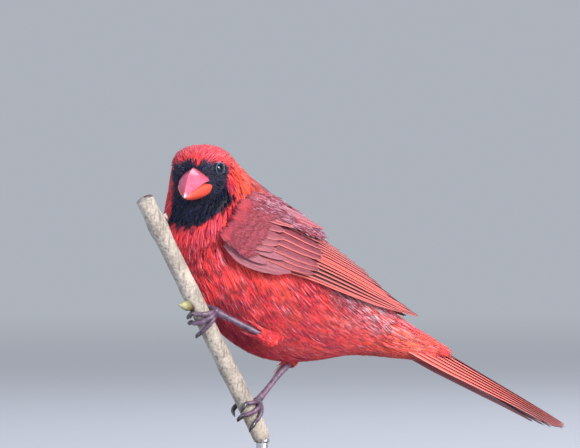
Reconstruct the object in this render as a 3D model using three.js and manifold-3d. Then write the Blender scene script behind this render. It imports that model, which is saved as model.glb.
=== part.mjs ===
// A male northern cardinal at life size, gripping a slanting cut stem on a plain display stand.
// Millimetres, +Z up. The bird faces -X with its left side at -Y and its head turned to the left.
// The origin is the middle of the underside of the stand's base.
import * as THREE from "three";
import { mergeVertices } from "three/addons/utils/BufferGeometryUtils.js";
import Module from "manifold-3d";

const wasm = await Module();
wasm.setup();

const GAP = 0.3; // clear space between neighbouring pieces
const VANE_THICKNESS = 0.5;
const LAYER = VANE_THICKNESS + GAP; // from one vane's face to the same face of the next
const BODY_SIDES = 24;
const BODY_STEPS = 2; // loft rings for each rib
const PARTING_BLOCK = [90, 90, 30];

// Ribs of the body from the tail root to the bill. A rib is a ring through its back point and its belly
// point, each given as [distance ahead of the neck axis, height] and turned by yaw degrees to the bird's
// left round that axis. half is half the ring's width, keel says how much the lower half narrows and
// brow how much the upper half widens.
const NECK_AXIS = new THREE.Vector2(-35, 0);
const HEAD_YAW = 56;
const HEAD_SHIFT = 1.4; // how far the head sits to its own left of the neck axis
const BODY_RIBS = [
  { yaw: 0, back: [-87, 64.5], belly: [-78, 51], half: 9, keel: 0.1 },
  { yaw: 0, back: [-76, 74], belly: [-63, 52], half: 13, keel: 0.15 },
  { yaw: 0, back: [-64, 86], belly: [-47, 50], half: 16.8, keel: 0.2 },
  { yaw: 0, back: [-52, 98], belly: [-32, 50], half: 19.8, keel: 0.25 },
  { yaw: 0, back: [-40, 109], belly: [-18, 54.5], half: 21.2, keel: 0.28 },
  { yaw: 0, back: [-28, 118], belly: [-3, 66], half: 21.6, keel: 0.25 },
  { yaw: 5, back: [-20, 124.3], belly: [9, 81], half: 21, keel: 0.15 },
  { yaw: 17, back: [-16.4, 128], belly: [14, 93], half: 19.8, keel: 0.05 },
  { yaw: 28, back: [-12.8, 131], belly: [15.4, 101.6], half: 17, keel: 0, brow: 0.06 },
  { yaw: 37, back: [-8.6, 133.7], belly: [15, 107.2], half: 14.8, keel: 0, brow: 0.18 },
  { yaw: 45, back: [-3.8, 136.1], belly: [14.2, 110.8], half: 13.3, keel: 0, brow: 0.3 },
  { yaw: 51.5, back: [1.6, 137.2], belly: [14, 113], half: 12.5, keel: 0, brow: 0.36 },
  { yaw: HEAD_YAW, back: [7, 137.4], belly: [14.4, 114.4], half: 11.8, keel: 0, brow: 0.36 },
  { yaw: HEAD_YAW, back: [12, 135.8], belly: [15.1, 115.2], half: 10.3, keel: 0, brow: 0.3 },
  { yaw: HEAD_YAW, back: [16, 132.8], belly: [16, 116.1], half: 7.6, keel: 0, brow: 0.2 },
  { yaw: HEAD_YAW, back: [18.6, 129], belly: [17, 117.2], half: 5.4, keel: 0, brow: 0.1 },
];
const NECK_START = 6; // rib number where the torso ends
const HEAD_START = 9; // rib number where the neck ends

// The two halves of the bill, as ribs in the head's own upright plane.
const BILL_UPPER_RIBS = [
  { back: [18.6, 128.6], belly: [17.3, 122.6], half: 6.6 },
  { back: [21.6, 128.0], belly: [20.8, 122.6], half: 5.9 },
  { back: [25.4, 125.8], belly: [24.4, 121.2], half: 4.6 },
  { back: [28.7, 122.3], belly: [27.8, 119.0], half: 3.0 },
  { back: [30.8, 119.0], belly: [30.2, 117.5], half: 1.3 },
  { back: [31.6, 117.0], belly: [31.3, 116.5], half: 0.4 },
];
const BILL_LOWER_RIBS = [
  { back: [17.2, 122.2], belly: [16.7, 116.4], half: 6.6 },
  { back: [20.7, 122.0], belly: [20.4, 115.9], half: 5.6 },
  { back: [24.2, 120.6], belly: [24.0, 115.8], half: 4.1 },
  { back: [27.1, 118.7], belly: [27.0, 116.0], half: 2.3 },
  { back: [29.0, 117.7], belly: [28.9, 116.9], half: 0.7 },
];
const NOSTRIL = { ahead: 20.6, side: 4.9, z: 126.3, r: 0.8 };
const EYE = { ahead: 12.2, side: 8.0, z: 128.3, r: 2.9, lidRing: 2.65, lid: 0.4, lidSink: 0.6, turn: 22 };
// Crest feathers in rows, the hindmost row first. from and to are places in BODY_RIBS, spread is the
// row's half spread in degrees round the crown, and height is how far the row lies above the head.
const CREST_ROWS = [
  { count: 4, from: 10.2, to: 7.7, spread: 27, height: 0.35 },
  { count: 5, from: 11.6, to: 8.4, spread: 33, height: 1.15 },
  { count: 4, from: 12.9, to: 9.3, spread: 23, height: 1.95 },
];
const CREST = { width: 3.3, rootSink: 1, curl: 0.5, shorter: 0.25 };

// Ribs of the folded left wing from the wrist to the tip: low and high are its edges, bulge its outward
// swell.
const WING_RIBS = [
  { low: [-36, -20, 101], high: [-24, -15.5, 118], bulge: 3 },
  { low: [-27, -23.4, 91], high: [-11, -14.5, 113], bulge: 4 },
  { low: [-12, -24.9, 86], high: [3, -13.6, 104.6], bulge: 4.4 },
  { low: [1, -23.9, 83], high: [15, -12.2, 97], bulge: 4 },
  { low: [18, -20.2, 77.5], high: [27, -9.6, 89.8], bulge: 2.8 },
  { low: [35, -15, 72], high: [40, -7.6, 81.5], bulge: 1.2 },
  { low: [54.5, -8.5, 66.4], high: [55.5, -6, 69], bulge: 0 },
];
// Rows of wing feathers, the innermost layer first: flight feathers, primary coverts, greater coverts,
// median coverts and scapulars. root and tip run from a row's lowest feather to its highest, as [along
// the wing, up the wing]. webs are the widths below and above the shaft, lift is the height of the
// exposed lower edge above the sheet, tilt how fast a vane dips from there under the next one, and sink
// how deep its root goes.
const WING_ROWS = [
  { count: 11, root: [[0.2, 0.12], [0.2, 0.55], [0.2, 0.92]],
    tip: [[0.93, 0.1], [1, 0.4], [0.82, 0.66], [0.64, 0.88], [0.52, 1]],
    webs: [1.3, 3.1], lift: 0, tilt: 0.4, sink: 0.3 },
  { count: 3, root: [[0.06, 0.06], [0.09, 0.2]], tip: [[0.35, 0.02], [0.41, 0.15]],
    webs: [2.2, 3], lift: 2.5, tilt: 0.22, sink: 1.2 },
  { count: 6, root: [[0.13, 0.26], [0.13, 0.9]], tip: [[0.49, 0.14], [0.46, 0.5], [0.42, 0.86]],
    webs: [2.3, 3.4], lift: 2.7, tilt: 0.22, sink: 1.2 },
  { count: 5, root: [[0.06, 0.3], [0.06, 0.84]], tip: [[0.3, 0.28], [0.29, 0.8]],
    webs: [2.3, 3.1], lift: 4.4, tilt: 0.16, sink: 2.1 },
  { count: 4, root: [[0.03, 0.78], [0.1, 0.93]], tip: [[0.35, 0.86], [0.45, 0.98]],
    webs: [2.6, 2.6], lift: 5, tilt: 0.2, sink: 2.6 },
];
const WING_CORE = [
  { along: 0.0, outer: 1.4, inner: -1.4 },
  { along: 0.04, outer: 3.2, inner: -4 },
  { along: 0.1, outer: 3.4, inner: -5 },
  { along: 0.18, outer: 1.4, inner: -5 },
  { along: 0.27, outer: -0.4, inner: -4.6 },
  { along: 0.36, outer: -1.6, inner: -3.6 },
];
const CORE_EDGES = [0.06, 0.97]; // how far up the wing the core starts and ends
const CORE_ROWS = 6;
const CORE_ROUNDING = [0.12, 0.88]; // the part of a half turn that rounds the core off between its edges
const CORE_RIM = -1.2; // height of the core's rounded rim under the sheet
const VANE_OUTLINE = [
  [0, 0.6], [0.35, 0.95], [0.7, 1], [0.91, 0.68], [1, 0.24],
]; // [share of the length, share of the width]

// The tail, in its own frame: along it, to the bird's right, and up from its middle line.
const TAIL = { root: [46, 0, 65.6], slope: 30, length: 86, rootDroop: 0.1, fan: 0.45 };
const RECTRIX_SHORTER = [0, 0.3, 1, 3, 6, 11]; // how far each feather falls short of the middle pair
const RECTRIX = {
  start: 10, firstSide: 1.3, step: 1.25, inner: 3.9, outer: 3.9, nearMiddle: 0.35, rootWidth: 0.7,
  rootSink: 0.4,
};
const TAIL_CORE = [
  { along: 3.8, half: 8.4, top: 0.7, bottom: -13.3 },
  { along: 12, half: 7.4, top: 0.2, bottom: -10.4 },
  { along: 21, half: 6, top: -0.2, bottom: -7 },
  { along: 28, half: 4, top: -0.8, bottom: -4.6 },
];
const COVERT = { shorter: 0.22, rootSink: 1.5 };
const TAIL_COVERTS = [
  { count: 5, side: 5.2, root: 7, reach: 23, face: 1, rootHeight: 1.3, tipHeight: 0.85, half: 2.4 },
  { count: 5, side: 4.6, root: 7, reach: 25, face: -1, rootHeight: -8.4, tipHeight: -6.2, half: 2.5 },
];

// The cut stem and the feet that grip it.
const PERCH = { low: [-16.3, -4, 28.6], high: [-52.6, -20, 89.9], radius: 3.6, bottomZ: 18.4, topZ: 116 };
const PERCH_SWELLINGS = [
  { z: 105, rise: 0.5 }, { z: 79, rise: 0.2 }, { z: 47, rise: 0.2 },
];
const SWELLING_REACH = 3.5;
const STEM_SPARE = 8; // length under the stem's level foot that is cut off
const STEM_CUT_BLOCK = [40, 40, 20];
const BUD = { rootSink: 1.2, lean: 0.8, rise: 0.6, shape: [0.8, 1, 0.75, 0.2] };
const BUDS = [
  { z: 74, turn: 205, length: 5.5, radius: 2.1 },
  { z: 105, turn: 20, length: 3.2, radius: 1.9 },
  { z: 47, turn: 75, length: 1.6, radius: 1.6 },
];
const LEGS = {
  left: { gripZ: 68.2, heel: [-15.5, -18.2, 60.6], hip: [1, -9, 70], hipRadius: 6.6, heelRadius: 3.2 },
  right: { gripZ: 30, heel: [2.2, 3.8, 48], hip: [11, 9, 58], hipRadius: 6.5, heelRadius: 2.9 },
};
const THIGH = { kneeReach: 0.9, kneeSwell: 1.3, middleSwell: 0.85 };
const TARSUS_RADII = [1.9, 1.35, 1.2, 1.25, 1.6];
const BALL_RADIUS = 1.9;
// Toes: drift is how far a toe runs along the stem, and wrap is the way round the stem that it goes.
const TOES = [
  { name: "inner", length: 11, claw: 4.8, drift: 4.8, wrap: 1, radius: 1.0 },
  { name: "middle", length: 15, claw: 5.6, drift: 0.2, wrap: 1, radius: 1.1 },
  { name: "outer", length: 11.5, claw: 4.8, drift: -4.6, wrap: 1, radius: 1.0 },
  { name: "hind", length: 9.5, claw: 6.4, drift: 2.4, wrap: -1, radius: 1.15 },
];
const CLAW_DROOP = -2.6; // how far a claw hangs down the stem
const TOE_ARCH = 0.7; // how far a toe's root stands off the stem
const TOE_PAD = 0.3; // how far the toe's middle line lies outside its hold on the stem
const TOE_SHAPE = [1.15, 1.05, 1.1, 0.95, 1, 0.85, 0.85, 0.5];
const CLAW_SHAPE = [1, 1, 1, 1, 1, 1, 0.8, 0.62, 0.12];
// Points of a claw, as shares of its curl and of its droop, and how far it stands off the stem.
const CLAW_POINTS = [{ curl: 0.45, out: 1.1, droop: 0.3 }, { curl: 0.95, out: 1.2, droop: 1 }];

const BASE = { radius: 46, height: 8, round: 2 };
const ROD = { radius: 2.4, foot: 5.5, footHeight: 1.6, head: 3.1, headHeight: 1.2 };

const COLOURS = {
  red: { color: 0xc4252b, roughness: 0.85, metalness: 0 },
  dullRed: { color: 0x9c3238, roughness: 0.8, metalness: 0 },
  bill: { color: 0xe2553f, roughness: 0.45, metalness: 0 },
  eye: { color: 0x1b100c, roughness: 0.1, metalness: 0 },
  leg: { color: 0x6a4f58, roughness: 0.65, metalness: 0 },
  claw: { color: 0x2c2830, roughness: 0.4, metalness: 0 },
  bark: { color: 0xb5a58b, roughness: 0.9, metalness: 0 },
  base: { color: 0x3a2417, roughness: 0.4, metalness: 0 },
  steel: { color: 0xb9bcc0, roughness: 0.3, metalness: 1 },
};

// Small helpers
const lerp = THREE.MathUtils.lerp;
const rad = THREE.MathUtils.degToRad;
const vec = (p) => new THREE.Vector3(...p);
const span = (count) => Array.from({ length: count }, (_, i) => (count > 1 ? i / (count - 1) : 0));

// A smooth value through a list of numbers, at a place counted in list items.
function smooth(values, place) {
  const i = Math.min(Math.floor(place), values.length - 2);
  const s = place - i;
  const [a, b, c, d] = [-1, 0, 1, 2].map((k) => values[THREE.MathUtils.clamp(i + k, 0, values.length - 1)]);
  return 0.5 * (2 * b + (c - a) * s + (2 * a - 5 * b + 4 * c - d) * s * s + (3 * b - a - 3 * c + d) * s ** 3);
}

// A closed manifold-3d solid from a three.js geometry, with its faces pointing out.
function solid(geometry) {
  const bare = geometry.clone();
  for (const name of Object.keys(bare.attributes)) {
    if (name !== "position") bare.deleteAttribute(name);
  }
  const merged = mergeVertices(bare, 1e-4);
  const vertProperties = new Float32Array(merged.attributes.position.array);
  const triVerts = new Uint32Array(merged.index.array);
  const made = new wasm.Manifold(new wasm.Mesh({ numProp: 3, vertProperties, triVerts }));
  if (made.volume() > 0) return made;
  for (let i = 0; i < triVerts.length; i += 3) {
    [triVerts[i + 1], triVerts[i + 2]] = [triVerts[i + 2], triVerts[i + 1]];
  }
  return new wasm.Manifold(new wasm.Mesh({ numProp: 3, vertProperties, triVerts }));
}

const join = (solids) => solids.reduce((a, b) => a.add(b));

// The largest closed surface of a solid: it drops loose scraps.
function largest(made) {
  return made.decompose().reduce((a, b) => (b.volume() > a.volume() ? b : a));
}

function mesh(name, made, colour) {
  const { numProp, vertProperties, triVerts } = made.getMesh();
  const corners = new Float32Array(triVerts.length * 3);
  triVerts.forEach((v, i) => corners.set(vertProperties.subarray(v * numProp, v * numProp + 3), i * 3));
  const geometry = new THREE.BufferGeometry();
  geometry.setAttribute("position", new THREE.BufferAttribute(corners, 3));
  geometry.computeVertexNormals();
  const node = new THREE.Mesh(geometry, new THREE.MeshStandardMaterial(COLOURS[colour]));
  node.name = name;
  return node;
}

// A closed tube through rings of points, with a flat cap at each end.
function loft(rings) {
  const sides = rings[0].length;
  const points = rings.flat();
  const faces = [];
  const cap = (ring, first, flip) => {
    const middle = ring.reduce((sum, p) => sum.add(p), new THREE.Vector3()).divideScalar(sides);
    points.push(middle);
    for (let i = 0; i < sides; i++) {
      const [a, b] = [first + i, first + ((i + 1) % sides)];
      faces.push(points.length - 1, ...(flip ? [b, a] : [a, b]));
    }
  };
  for (let r = 0; r < rings.length - 1; r++) {
    for (let i = 0; i < sides; i++) {
      const [a, b] = [r * sides + i, r * sides + ((i + 1) % sides)];
      faces.push(a, b, a + sides, b, b + sides, a + sides);
    }
  }
  cap(rings[0], 0, true);
  cap(rings[rings.length - 1], (rings.length - 1) * sides, false);
  const geometry = new THREE.BufferGeometry().setFromPoints(points);
  geometry.setIndex(faces);
  return solid(geometry);
}

// A thin closed vane from stations of two edge points and the outward normal. Both faces have the same
// triangles.
function vane(stations, thickness = VANE_THICKNESS) {
  const rings = stations.map(({ low, high, normal }) => {
    const sunk = normal.clone().multiplyScalar(-thickness);
    return [low, high, high.clone().add(sunk), low.clone().add(sunk)];
  });
  const points = rings.flat();
  const faces = [0, 2, 1, 0, 3, 2];
  for (let r = 0; r < rings.length - 1; r++) {
    for (let i = 0; i < 4; i++) {
      const [a, b] = [r * 4 + i, r * 4 + ((i + 1) % 4)];
      // The lower face runs the other way round, so its diagonal is turned to match the upper face's.
      if (i === 2) faces.push(a, b, b + 4, a, b + 4, a + 4);
      else faces.push(a, b, a + 4, b, b + 4, a + 4);
    }
  }
  const last = points.length - 4;
  faces.push(last, last + 1, last + 2, last, last + 2, last + 3);
  const geometry = new THREE.BufferGeometry().setFromPoints(points);
  geometry.setIndex(faces);
  return solid(geometry);
}

// A round limb along a smooth line through points, with a radius at each point.
function limb(points, radii, steps, sides, from = 0, to = 1) {
  const curve = new THREE.CatmullRomCurve3(points);
  const frames = curve.computeFrenetFrames(steps, false);
  const rings = [];
  for (let i = 0; i <= steps; i++) {
    const u = lerp(from, to, i / steps);
    const centre = curve.getPoint(u);
    const tangent = curve.getTangent(u).normalize();
    const side = frames.normals[Math.round(u * steps)].clone();
    side.addScaledVector(tangent, -side.dot(tangent)).normalize();
    const up = tangent.clone().cross(side);
    const r = smooth(radii, u * (radii.length - 1));
    rings.push(
      span(sides + 1).slice(0, sides).map((share) => {
        const angle = share * 2 * Math.PI;
        return centre.clone()
          .addScaledVector(side, Math.cos(angle) * r)
          .addScaledVector(up, Math.sin(angle) * r);
      }),
    );
  }
  return loft(rings);
}

function ball(centre, radius, detail = 12) {
  return solid(new THREE.SphereGeometry(radius, detail, detail / 2).translate(...centre));
}

// Body: the head, neck and torso are lengths of one lofted form
function headPoint(ahead, side, z, yaw = HEAD_YAW) {
  const [c, s] = [Math.cos(rad(yaw)), Math.sin(rad(yaw))];
  const across = side + (HEAD_SHIFT * yaw) / HEAD_YAW;
  return new THREE.Vector3(NECK_AXIS.x - ahead * c + across * s, NECK_AXIS.y - ahead * s - across * c, z);
}

// A point of a rib form at a place counted in ribs and an angle round the rib, the form grown by grow
// millimetres.
function ringPoint(ribs, place, angle, grow) {
  const value = (pick) => smooth(ribs.map(pick), place);
  const [backAhead, backZ] = [value((r) => r.back[0]), value((r) => r.back[1])];
  const [bellyAhead, bellyZ] = [value((r) => r.belly[0]), value((r) => r.belly[1])];
  const [ahead, z] = [(backAhead + bellyAhead) / 2, (backZ + bellyZ) / 2];
  const height = Math.hypot(backAhead - bellyAhead, backZ - bellyZ) / 2;
  const lift = Math.sin(angle) * (1 + grow / height);
  const widening = lift < 0 ? -value((r) => r.keel ?? 0) : value((r) => r.brow ?? 0);
  const side = Math.cos(angle) * (value((r) => r.half) + grow) * (1 + widening * Math.sin(angle) ** 2);
  const yaw = value((r) => r.yaw ?? HEAD_YAW);
  return headPoint(ahead + (backAhead - ahead) * lift, side, z + (backZ - z) * lift, yaw);
}

function ribRing(ribs, place, sides, grow = 0) {
  return span(sides + 1).slice(0, sides).map((share) => ringPoint(ribs, place, share * 2 * Math.PI, grow));
}

function bodyLength(from, to, grow = 0) {
  const steps = Math.round((to - from) * BODY_STEPS);
  return loft(span(steps + 1).map((s) => ribRing(BODY_RIBS, lerp(from, to, s), BODY_SIDES, grow)));
}

// A block that takes all of the body behind the rib at place and the gap's width ahead of it, where way
// is 1. With way -1 it takes what lies ahead of the rib.
function partingBlock(place, way) {
  const cut = ribRing(BODY_RIBS, place, 4);
  const middle = cut[0].clone().add(cut[2]).divideScalar(2);
  const normal = cut[1].clone().sub(cut[3]).cross(cut[0].clone().sub(cut[2])).normalize();
  const ahead = ribRing(BODY_RIBS, place + 0.5, 4);
  const onward = ahead[0].add(ahead[2]).divideScalar(2).sub(middle);
  if (normal.dot(onward) * way < 0) normal.negate();
  const block = new THREE.BoxGeometry(...PARTING_BLOCK);
  block.applyQuaternion(new THREE.Quaternion().setFromUnitVectors(new THREE.Vector3(0, 0, 1), normal));
  const centre = middle.addScaledVector(normal, GAP - PARTING_BLOCK[2] / 2);
  return solid(block.translate(...centre));
}

const LAST_RIB = BODY_RIBS.length - 1;
const torsoPart = bodyLength(0, NECK_START);
const neckPart = largest(bodyLength(NECK_START, HEAD_START).subtract(partingBlock(NECK_START, 1)));
const headCore = largest(bodyLength(HEAD_START, LAST_RIB).subtract(partingBlock(HEAD_START, 1)));
const grownBody = bodyLength(0, HEAD_START, GAP);

function eyePlace(sign) {
  return headPoint(EYE.ahead, sign * EYE.side, EYE.z);
}

// The ring of lids round an eye, facing out and a little forward.
function lidRing(sign) {
  const ring = new THREE.TorusGeometry(EYE.lidRing, EYE.lid, 5, 14);
  const outward = headPoint(Math.sin(rad(EYE.turn)), sign * Math.cos(rad(EYE.turn)), 0)
    .sub(headPoint(0, 0, 0));
  ring.applyQuaternion(new THREE.Quaternion().setFromUnitVectors(new THREE.Vector3(0, 0, 1), outward));
  const centre = eyePlace(sign).addScaledVector(outward, EYE.r - EYE.lidSink);
  return solid(ring.translate(centre.x, centre.y, centre.z));
}

// A point of the body's surface and the way out there: angle 90 is the back, 0 the left side and 270 the
// belly.
function bodySurface(place, angle) {
  const at = (p, a) => ringPoint(BODY_RIBS, p, rad(a), 0);
  const step = 0.05;
  const here = at(place, angle);
  const onward = at(place + step, angle).sub(at(place - step, angle));
  const round = at(place, angle + 1).sub(at(place, angle - 1));
  const out = onward.cross(round).normalize();
  const middle = at(place, 0).add(at(place, 180)).divideScalar(2);
  if (out.dot(here.clone().sub(middle)) < 0) out.negate();
  return { here, out, round: round.normalize() };
}

// Crest feathers laid back over the crown in staggered rows, their tips free of the nape.
function crest() {
  return CREST_ROWS.flatMap((row) => span(row.count).map((s) => {
    const angle = 90 + lerp(-row.spread, row.spread, s);
    const reach = 1 - CREST.shorter * Math.abs(2 * s - 1);
    const stations = VANE_OUTLINE.map(([share, wide]) => {
      const { here, out, round } = bodySurface(lerp(row.from, lerp(row.from, row.to, reach), share), angle);
      const height = share === 0 ? -CREST.rootSink : row.height + VANE_THICKNESS + CREST.curl * share ** 2;
      here.addScaledVector(out, height);
      const edge = (e) => here.clone().addScaledVector(round, (e * CREST.width * wide) / 2);
      return { low: edge(-1), high: edge(1), normal: out };
    });
    return vane(stations);
  }));
}

function buildHead() {
  const sockets = [-1, 1].map((sign) => ball(eyePlace(sign).toArray(), EYE.r + GAP, 16));
  const trimmedCrest = join(crest()).subtract(grownBody);
  return largest(join([headCore, trimmedCrest, lidRing(-1), lidRing(1)]).subtract(join(sockets)));
}

function buildBill(ribs) {
  const last = ribs.length - 1;
  const ahead = headPoint(GAP * 1.3, 0, 0).sub(headPoint(0, 0, 0));
  const whole = loft(span(last * 2 + 1).map((s) => ribRing(ribs, s * last, 12)));
  return whole.subtract(headCore.translate(ahead.toArray()));
}

function buildBillUpper() {
  const pits = [-1, 1].map((sign) =>
    ball(headPoint(NOSTRIL.ahead, sign * (NOSTRIL.side + 0.5), NOSTRIL.z).toArray(), NOSTRIL.r, 8));
  return largest(buildBill(BILL_UPPER_RIBS).subtract(join(pits)));
}

// Wing: a sheet between its lower and upper edges, and vanes laid on that sheet
const wingEdge = (key) => new THREE.CatmullRomCurve3(WING_RIBS.map((r) => vec(r[key])));
const wingLow = wingEdge("low");
const wingHigh = wingEdge("high");

function wingSheet(along, up) {
  const a = THREE.MathUtils.clamp(along, 0, 1);
  const [low, high] = [wingLow.getPoint(a), wingHigh.getPoint(a)];
  const tangent = wingLow.getTangent(a).lerp(wingHigh.getTangent(a), 0.5).normalize();
  const across = high.clone().sub(low);
  const out = across.clone().normalize().cross(tangent).normalize();
  if (out.y > 0) out.negate();
  const bulge = smooth(WING_RIBS.map((r) => r.bulge), a * (WING_RIBS.length - 1));
  const share = THREE.MathUtils.clamp(up, 0, 1);
  const point = low.clone().addScaledVector(across, up).addScaledVector(out, 4 * bulge * share * (1 - share));
  return { point, out };
}

function wingFrame(along, up) {
  const step = 0.01;
  const here = wingSheet(along, up);
  const rise = wingSheet(along, up + step).point.sub(wingSheet(along, up - step).point).normalize();
  const run = wingSheet(Math.min(along + step, 1), up).point
    .sub(wingSheet(Math.max(along - step, 0), up).point).normalize();
  const out = rise.clone().cross(run).normalize();
  if (out.dot(here.out) < 0) out.negate();
  return { point: here.point, rise, out };
}

// The way up the wing at which each feather of a row runs, at a place along the wing.
function rowUps(row, along) {
  return span(row.count).map((s) => {
    const [from, fromUp, to, toUp] = feather(row, s);
    return lerp(fromUp, toUp, THREE.MathUtils.clamp((along - from) / (to - from), 0, 1));
  });
}

function feather(row, s) {
  const at = (list, k) => smooth(list.map((p) => p[k]), s * (list.length - 1));
  return [at(row.root, 0), at(row.root, 1), at(row.tip, 0), at(row.tip, 1)];
}

// How far each feather of a row is raised over the one below it, so that vanes crowded together stay apart.
function rowRises(row, along) {
  const ups = rowUps(row, along);
  const chord = wingLow.getPoint(along).distanceTo(wingHigh.getPoint(along));
  const rises = [0];
  for (let i = 1; i < ups.length; i++) {
    const apart = (ups[i] - ups[i - 1]) * chord;
    rises.push(rises[i - 1] + Math.max(0, LAYER - row.tilt * apart));
  }
  const middle = rises[rises.length - 1] / 2;
  return rises.map((r) => r - middle);
}

function wingVane(row, index) {
  const s = index / (row.count - 1);
  const [from, fromUp, to, toUp] = feather(row, s);
  const stations = VANE_OUTLINE.map(([share, wide]) => {
    const [along, up] = [Math.min(lerp(from, to, share), 1), lerp(fromUp, toUp, share)];
    const { point, rise, out } = wingFrame(along, up);
    const narrow = wide * (1 - 0.5 * Math.max(0, along - 0.6));
    const height = row.lift + rowRises(row, along)[index] - (share === 0 ? row.sink : 0);
    const edge = (web, drop) => point.clone()
      .addScaledVector(rise, web * narrow)
      .addScaledVector(out, height - drop);
    const drop = row.tilt * (row.webs[0] + row.webs[1]) * narrow;
    return { low: edge(-row.webs[0], 0), high: edge(row.webs[1], drop), normal: out };
  });
  return vane(stations);
}

// The meat of the wing under its coverts, which every feather row grows from.
function wingCore() {
  return loft(WING_CORE.map(({ along, outer, inner }) => {
    const ups = span(CORE_ROWS).map((s) => lerp(...CORE_EDGES, s));
    const face = (up, height) => {
      const { point, out } = wingFrame(along, up);
      const share = THREE.MathUtils.inverseLerp(...CORE_EDGES, up);
      const rounded = Math.sin(Math.PI * lerp(...CORE_ROUNDING, share)) ** 0.5;
      return point.addScaledVector(out, lerp(CORE_RIM, height, rounded));
    };
    return [...ups.map((u) => face(u, outer)), ...ups.reverse().map((u) => face(u, inner))];
  }));
}

function buildWing() {
  const vanes = WING_ROWS.flatMap((row) => span(row.count).map((_, index) => wingVane(row, index)));
  return join([wingCore(), ...vanes]);
}

// Tail
const tailAxes = (() => {
  const [c, s] = [Math.cos(rad(TAIL.slope)), Math.sin(rad(TAIL.slope))];
  return {
    along: new THREE.Vector3(c, 0, -s),
    side: new THREE.Vector3(0, 1, 0),
    up: new THREE.Vector3(s, 0, c),
  };
})();

function tailPoint(along, side, height) {
  return vec(TAIL.root)
    .addScaledVector(tailAxes.along, along)
    .addScaledVector(tailAxes.side, side)
    .addScaledVector(tailAxes.up, height);
}

const tailDroop = (along) => TAIL.rootDroop * (1 - Math.min(along / TAIL.length, 1)) ** 2;

// Feather k of one side, 0 in the middle and 5 outermost and lowest.
function rectrix(k, sign) {
  const length = TAIL.length - RECTRIX_SHORTER[k];
  const layer = k === 0 ? (sign > 0 ? 0 : -LAYER) : -LAYER * (k + 1);
  const stations = VANE_OUTLINE.map(([share, wide]) => {
    const along = lerp(RECTRIX.start, length, share);
    const fan = 1 - TAIL.fan * (1 - along / TAIL.length);
    const middle = (RECTRIX.firstSide + RECTRIX.step * k) * fan;
    const reach = middle - RECTRIX.inner * wide;
    const inner = k === 0 ? reach : Math.max(RECTRIX.nearMiddle, reach);
    const outer = middle + RECTRIX.outer * wide * lerp(RECTRIX.rootWidth, 1, fan);
    const height = (side) => layer - tailDroop(along) * side * side;
    const edge = (side) => tailPoint(along, sign * side, height(side) - (share === 0 ? RECTRIX.rootSink : 0));
    return { low: edge(inner), high: edge(outer), normal: tailAxes.up };
  });
  return vane(stations);
}

function tailCore() {
  return loft(TAIL_CORE.map(({ along, half, top, bottom }) =>
    span(17).slice(0, 16).map((share) => {
      const angle = share * 2 * Math.PI;
      const middle = (top + bottom) / 2;
      return tailPoint(along, Math.cos(angle) * half, middle + (Math.sin(angle) * (top - bottom)) / 2);
    })));
}

function tailCoverts(row) {
  return span(row.count).map((s, index) => {
    const side = lerp(-row.side, row.side, s);
    const reach = row.reach * (1 - COVERT.shorter * Math.abs(2 * s - 1));
    const layer = (index % 2) * LAYER;
    const stations = VANE_OUTLINE.map(([share, wide]) => {
      const along = lerp(row.root, row.root + reach, share);
      const raised = share === 0 ? -COVERT.rootSink : layer;
      const base = lerp(row.rootHeight, row.tipHeight, share) + row.face * raised;
      const edge = (e) => {
        const across = side + e * row.half * wide;
        return tailPoint(along, across, base - tailDroop(along) * across * across);
      };
      return { low: edge(-1), high: edge(1), normal: tailAxes.up.clone().multiplyScalar(row.face) };
    });
    return vane(stations);
  });
}

function buildTail() {
  const feathers = [-1, 1].flatMap((sign) => RECTRIX_SHORTER.map((_, k) => rectrix(k, sign)));
  const coverts = TAIL_COVERTS.flatMap(tailCoverts);
  return largest(join([tailCore(), ...feathers, ...coverts]).subtract(partingBlock(0, -1)));
}

// Stem
const perchLow = vec(PERCH.low);
const perchAxis = vec(PERCH.high).sub(perchLow).normalize();
const perchAt = (z) => perchLow.clone().addScaledVector(perchAxis, (z - perchLow.z) / perchAxis.z);

// A direction square to the stem, turned by degrees from the one that points most to +X.
function squareTo(turn) {
  const first = new THREE.Vector3(1, 0, 0).addScaledVector(perchAxis, -perchAxis.x).normalize();
  return first.applyAxisAngle(perchAxis, rad(turn));
}

function buildPerch() {
  const bump = (z, s) => s.rise * Math.exp(-(((z - s.z) / SWELLING_REACH) ** 2));
  const swell = (z) => PERCH_SWELLINGS.reduce((sum, s) => sum + bump(z, s), 0);
  const heights = span(15).map((s) => lerp(PERCH.bottomZ - STEM_SPARE, PERCH.topZ, s));
  const [side, up] = [squareTo(0), squareTo(90)];
  const stem = loft(heights.map((z) =>
    span(13).slice(0, 12).map((share) => {
      const r = PERCH.radius + swell(z);
      return perchAt(z)
        .addScaledVector(side, Math.cos(share * 2 * Math.PI) * r)
        .addScaledVector(up, Math.sin(share * 2 * Math.PI) * r);
    })));
  const buds = BUDS.map(({ z, turn, length, radius }) => {
    const out = squareTo(turn);
    const start = perchAt(z).addScaledVector(out, PERCH.radius - BUD.rootSink);
    const lean = out.clone().multiplyScalar(BUD.lean).addScaledVector(perchAxis, BUD.rise);
    const points = span(4).map((s) => start.clone().addScaledVector(lean, s * (length + BUD.rootSink)));
    return limb(points, BUD.shape.map((share) => share * radius), 5, 8);
  });
  const below = new THREE.BoxGeometry(...STEM_CUT_BLOCK);
  below.translate(perchLow.x, perchLow.y, PERCH.bottomZ - STEM_CUT_BLOCK[2] / 2);
  return largest(join([stem, ...buds]).subtract(solid(below)));
}

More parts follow.
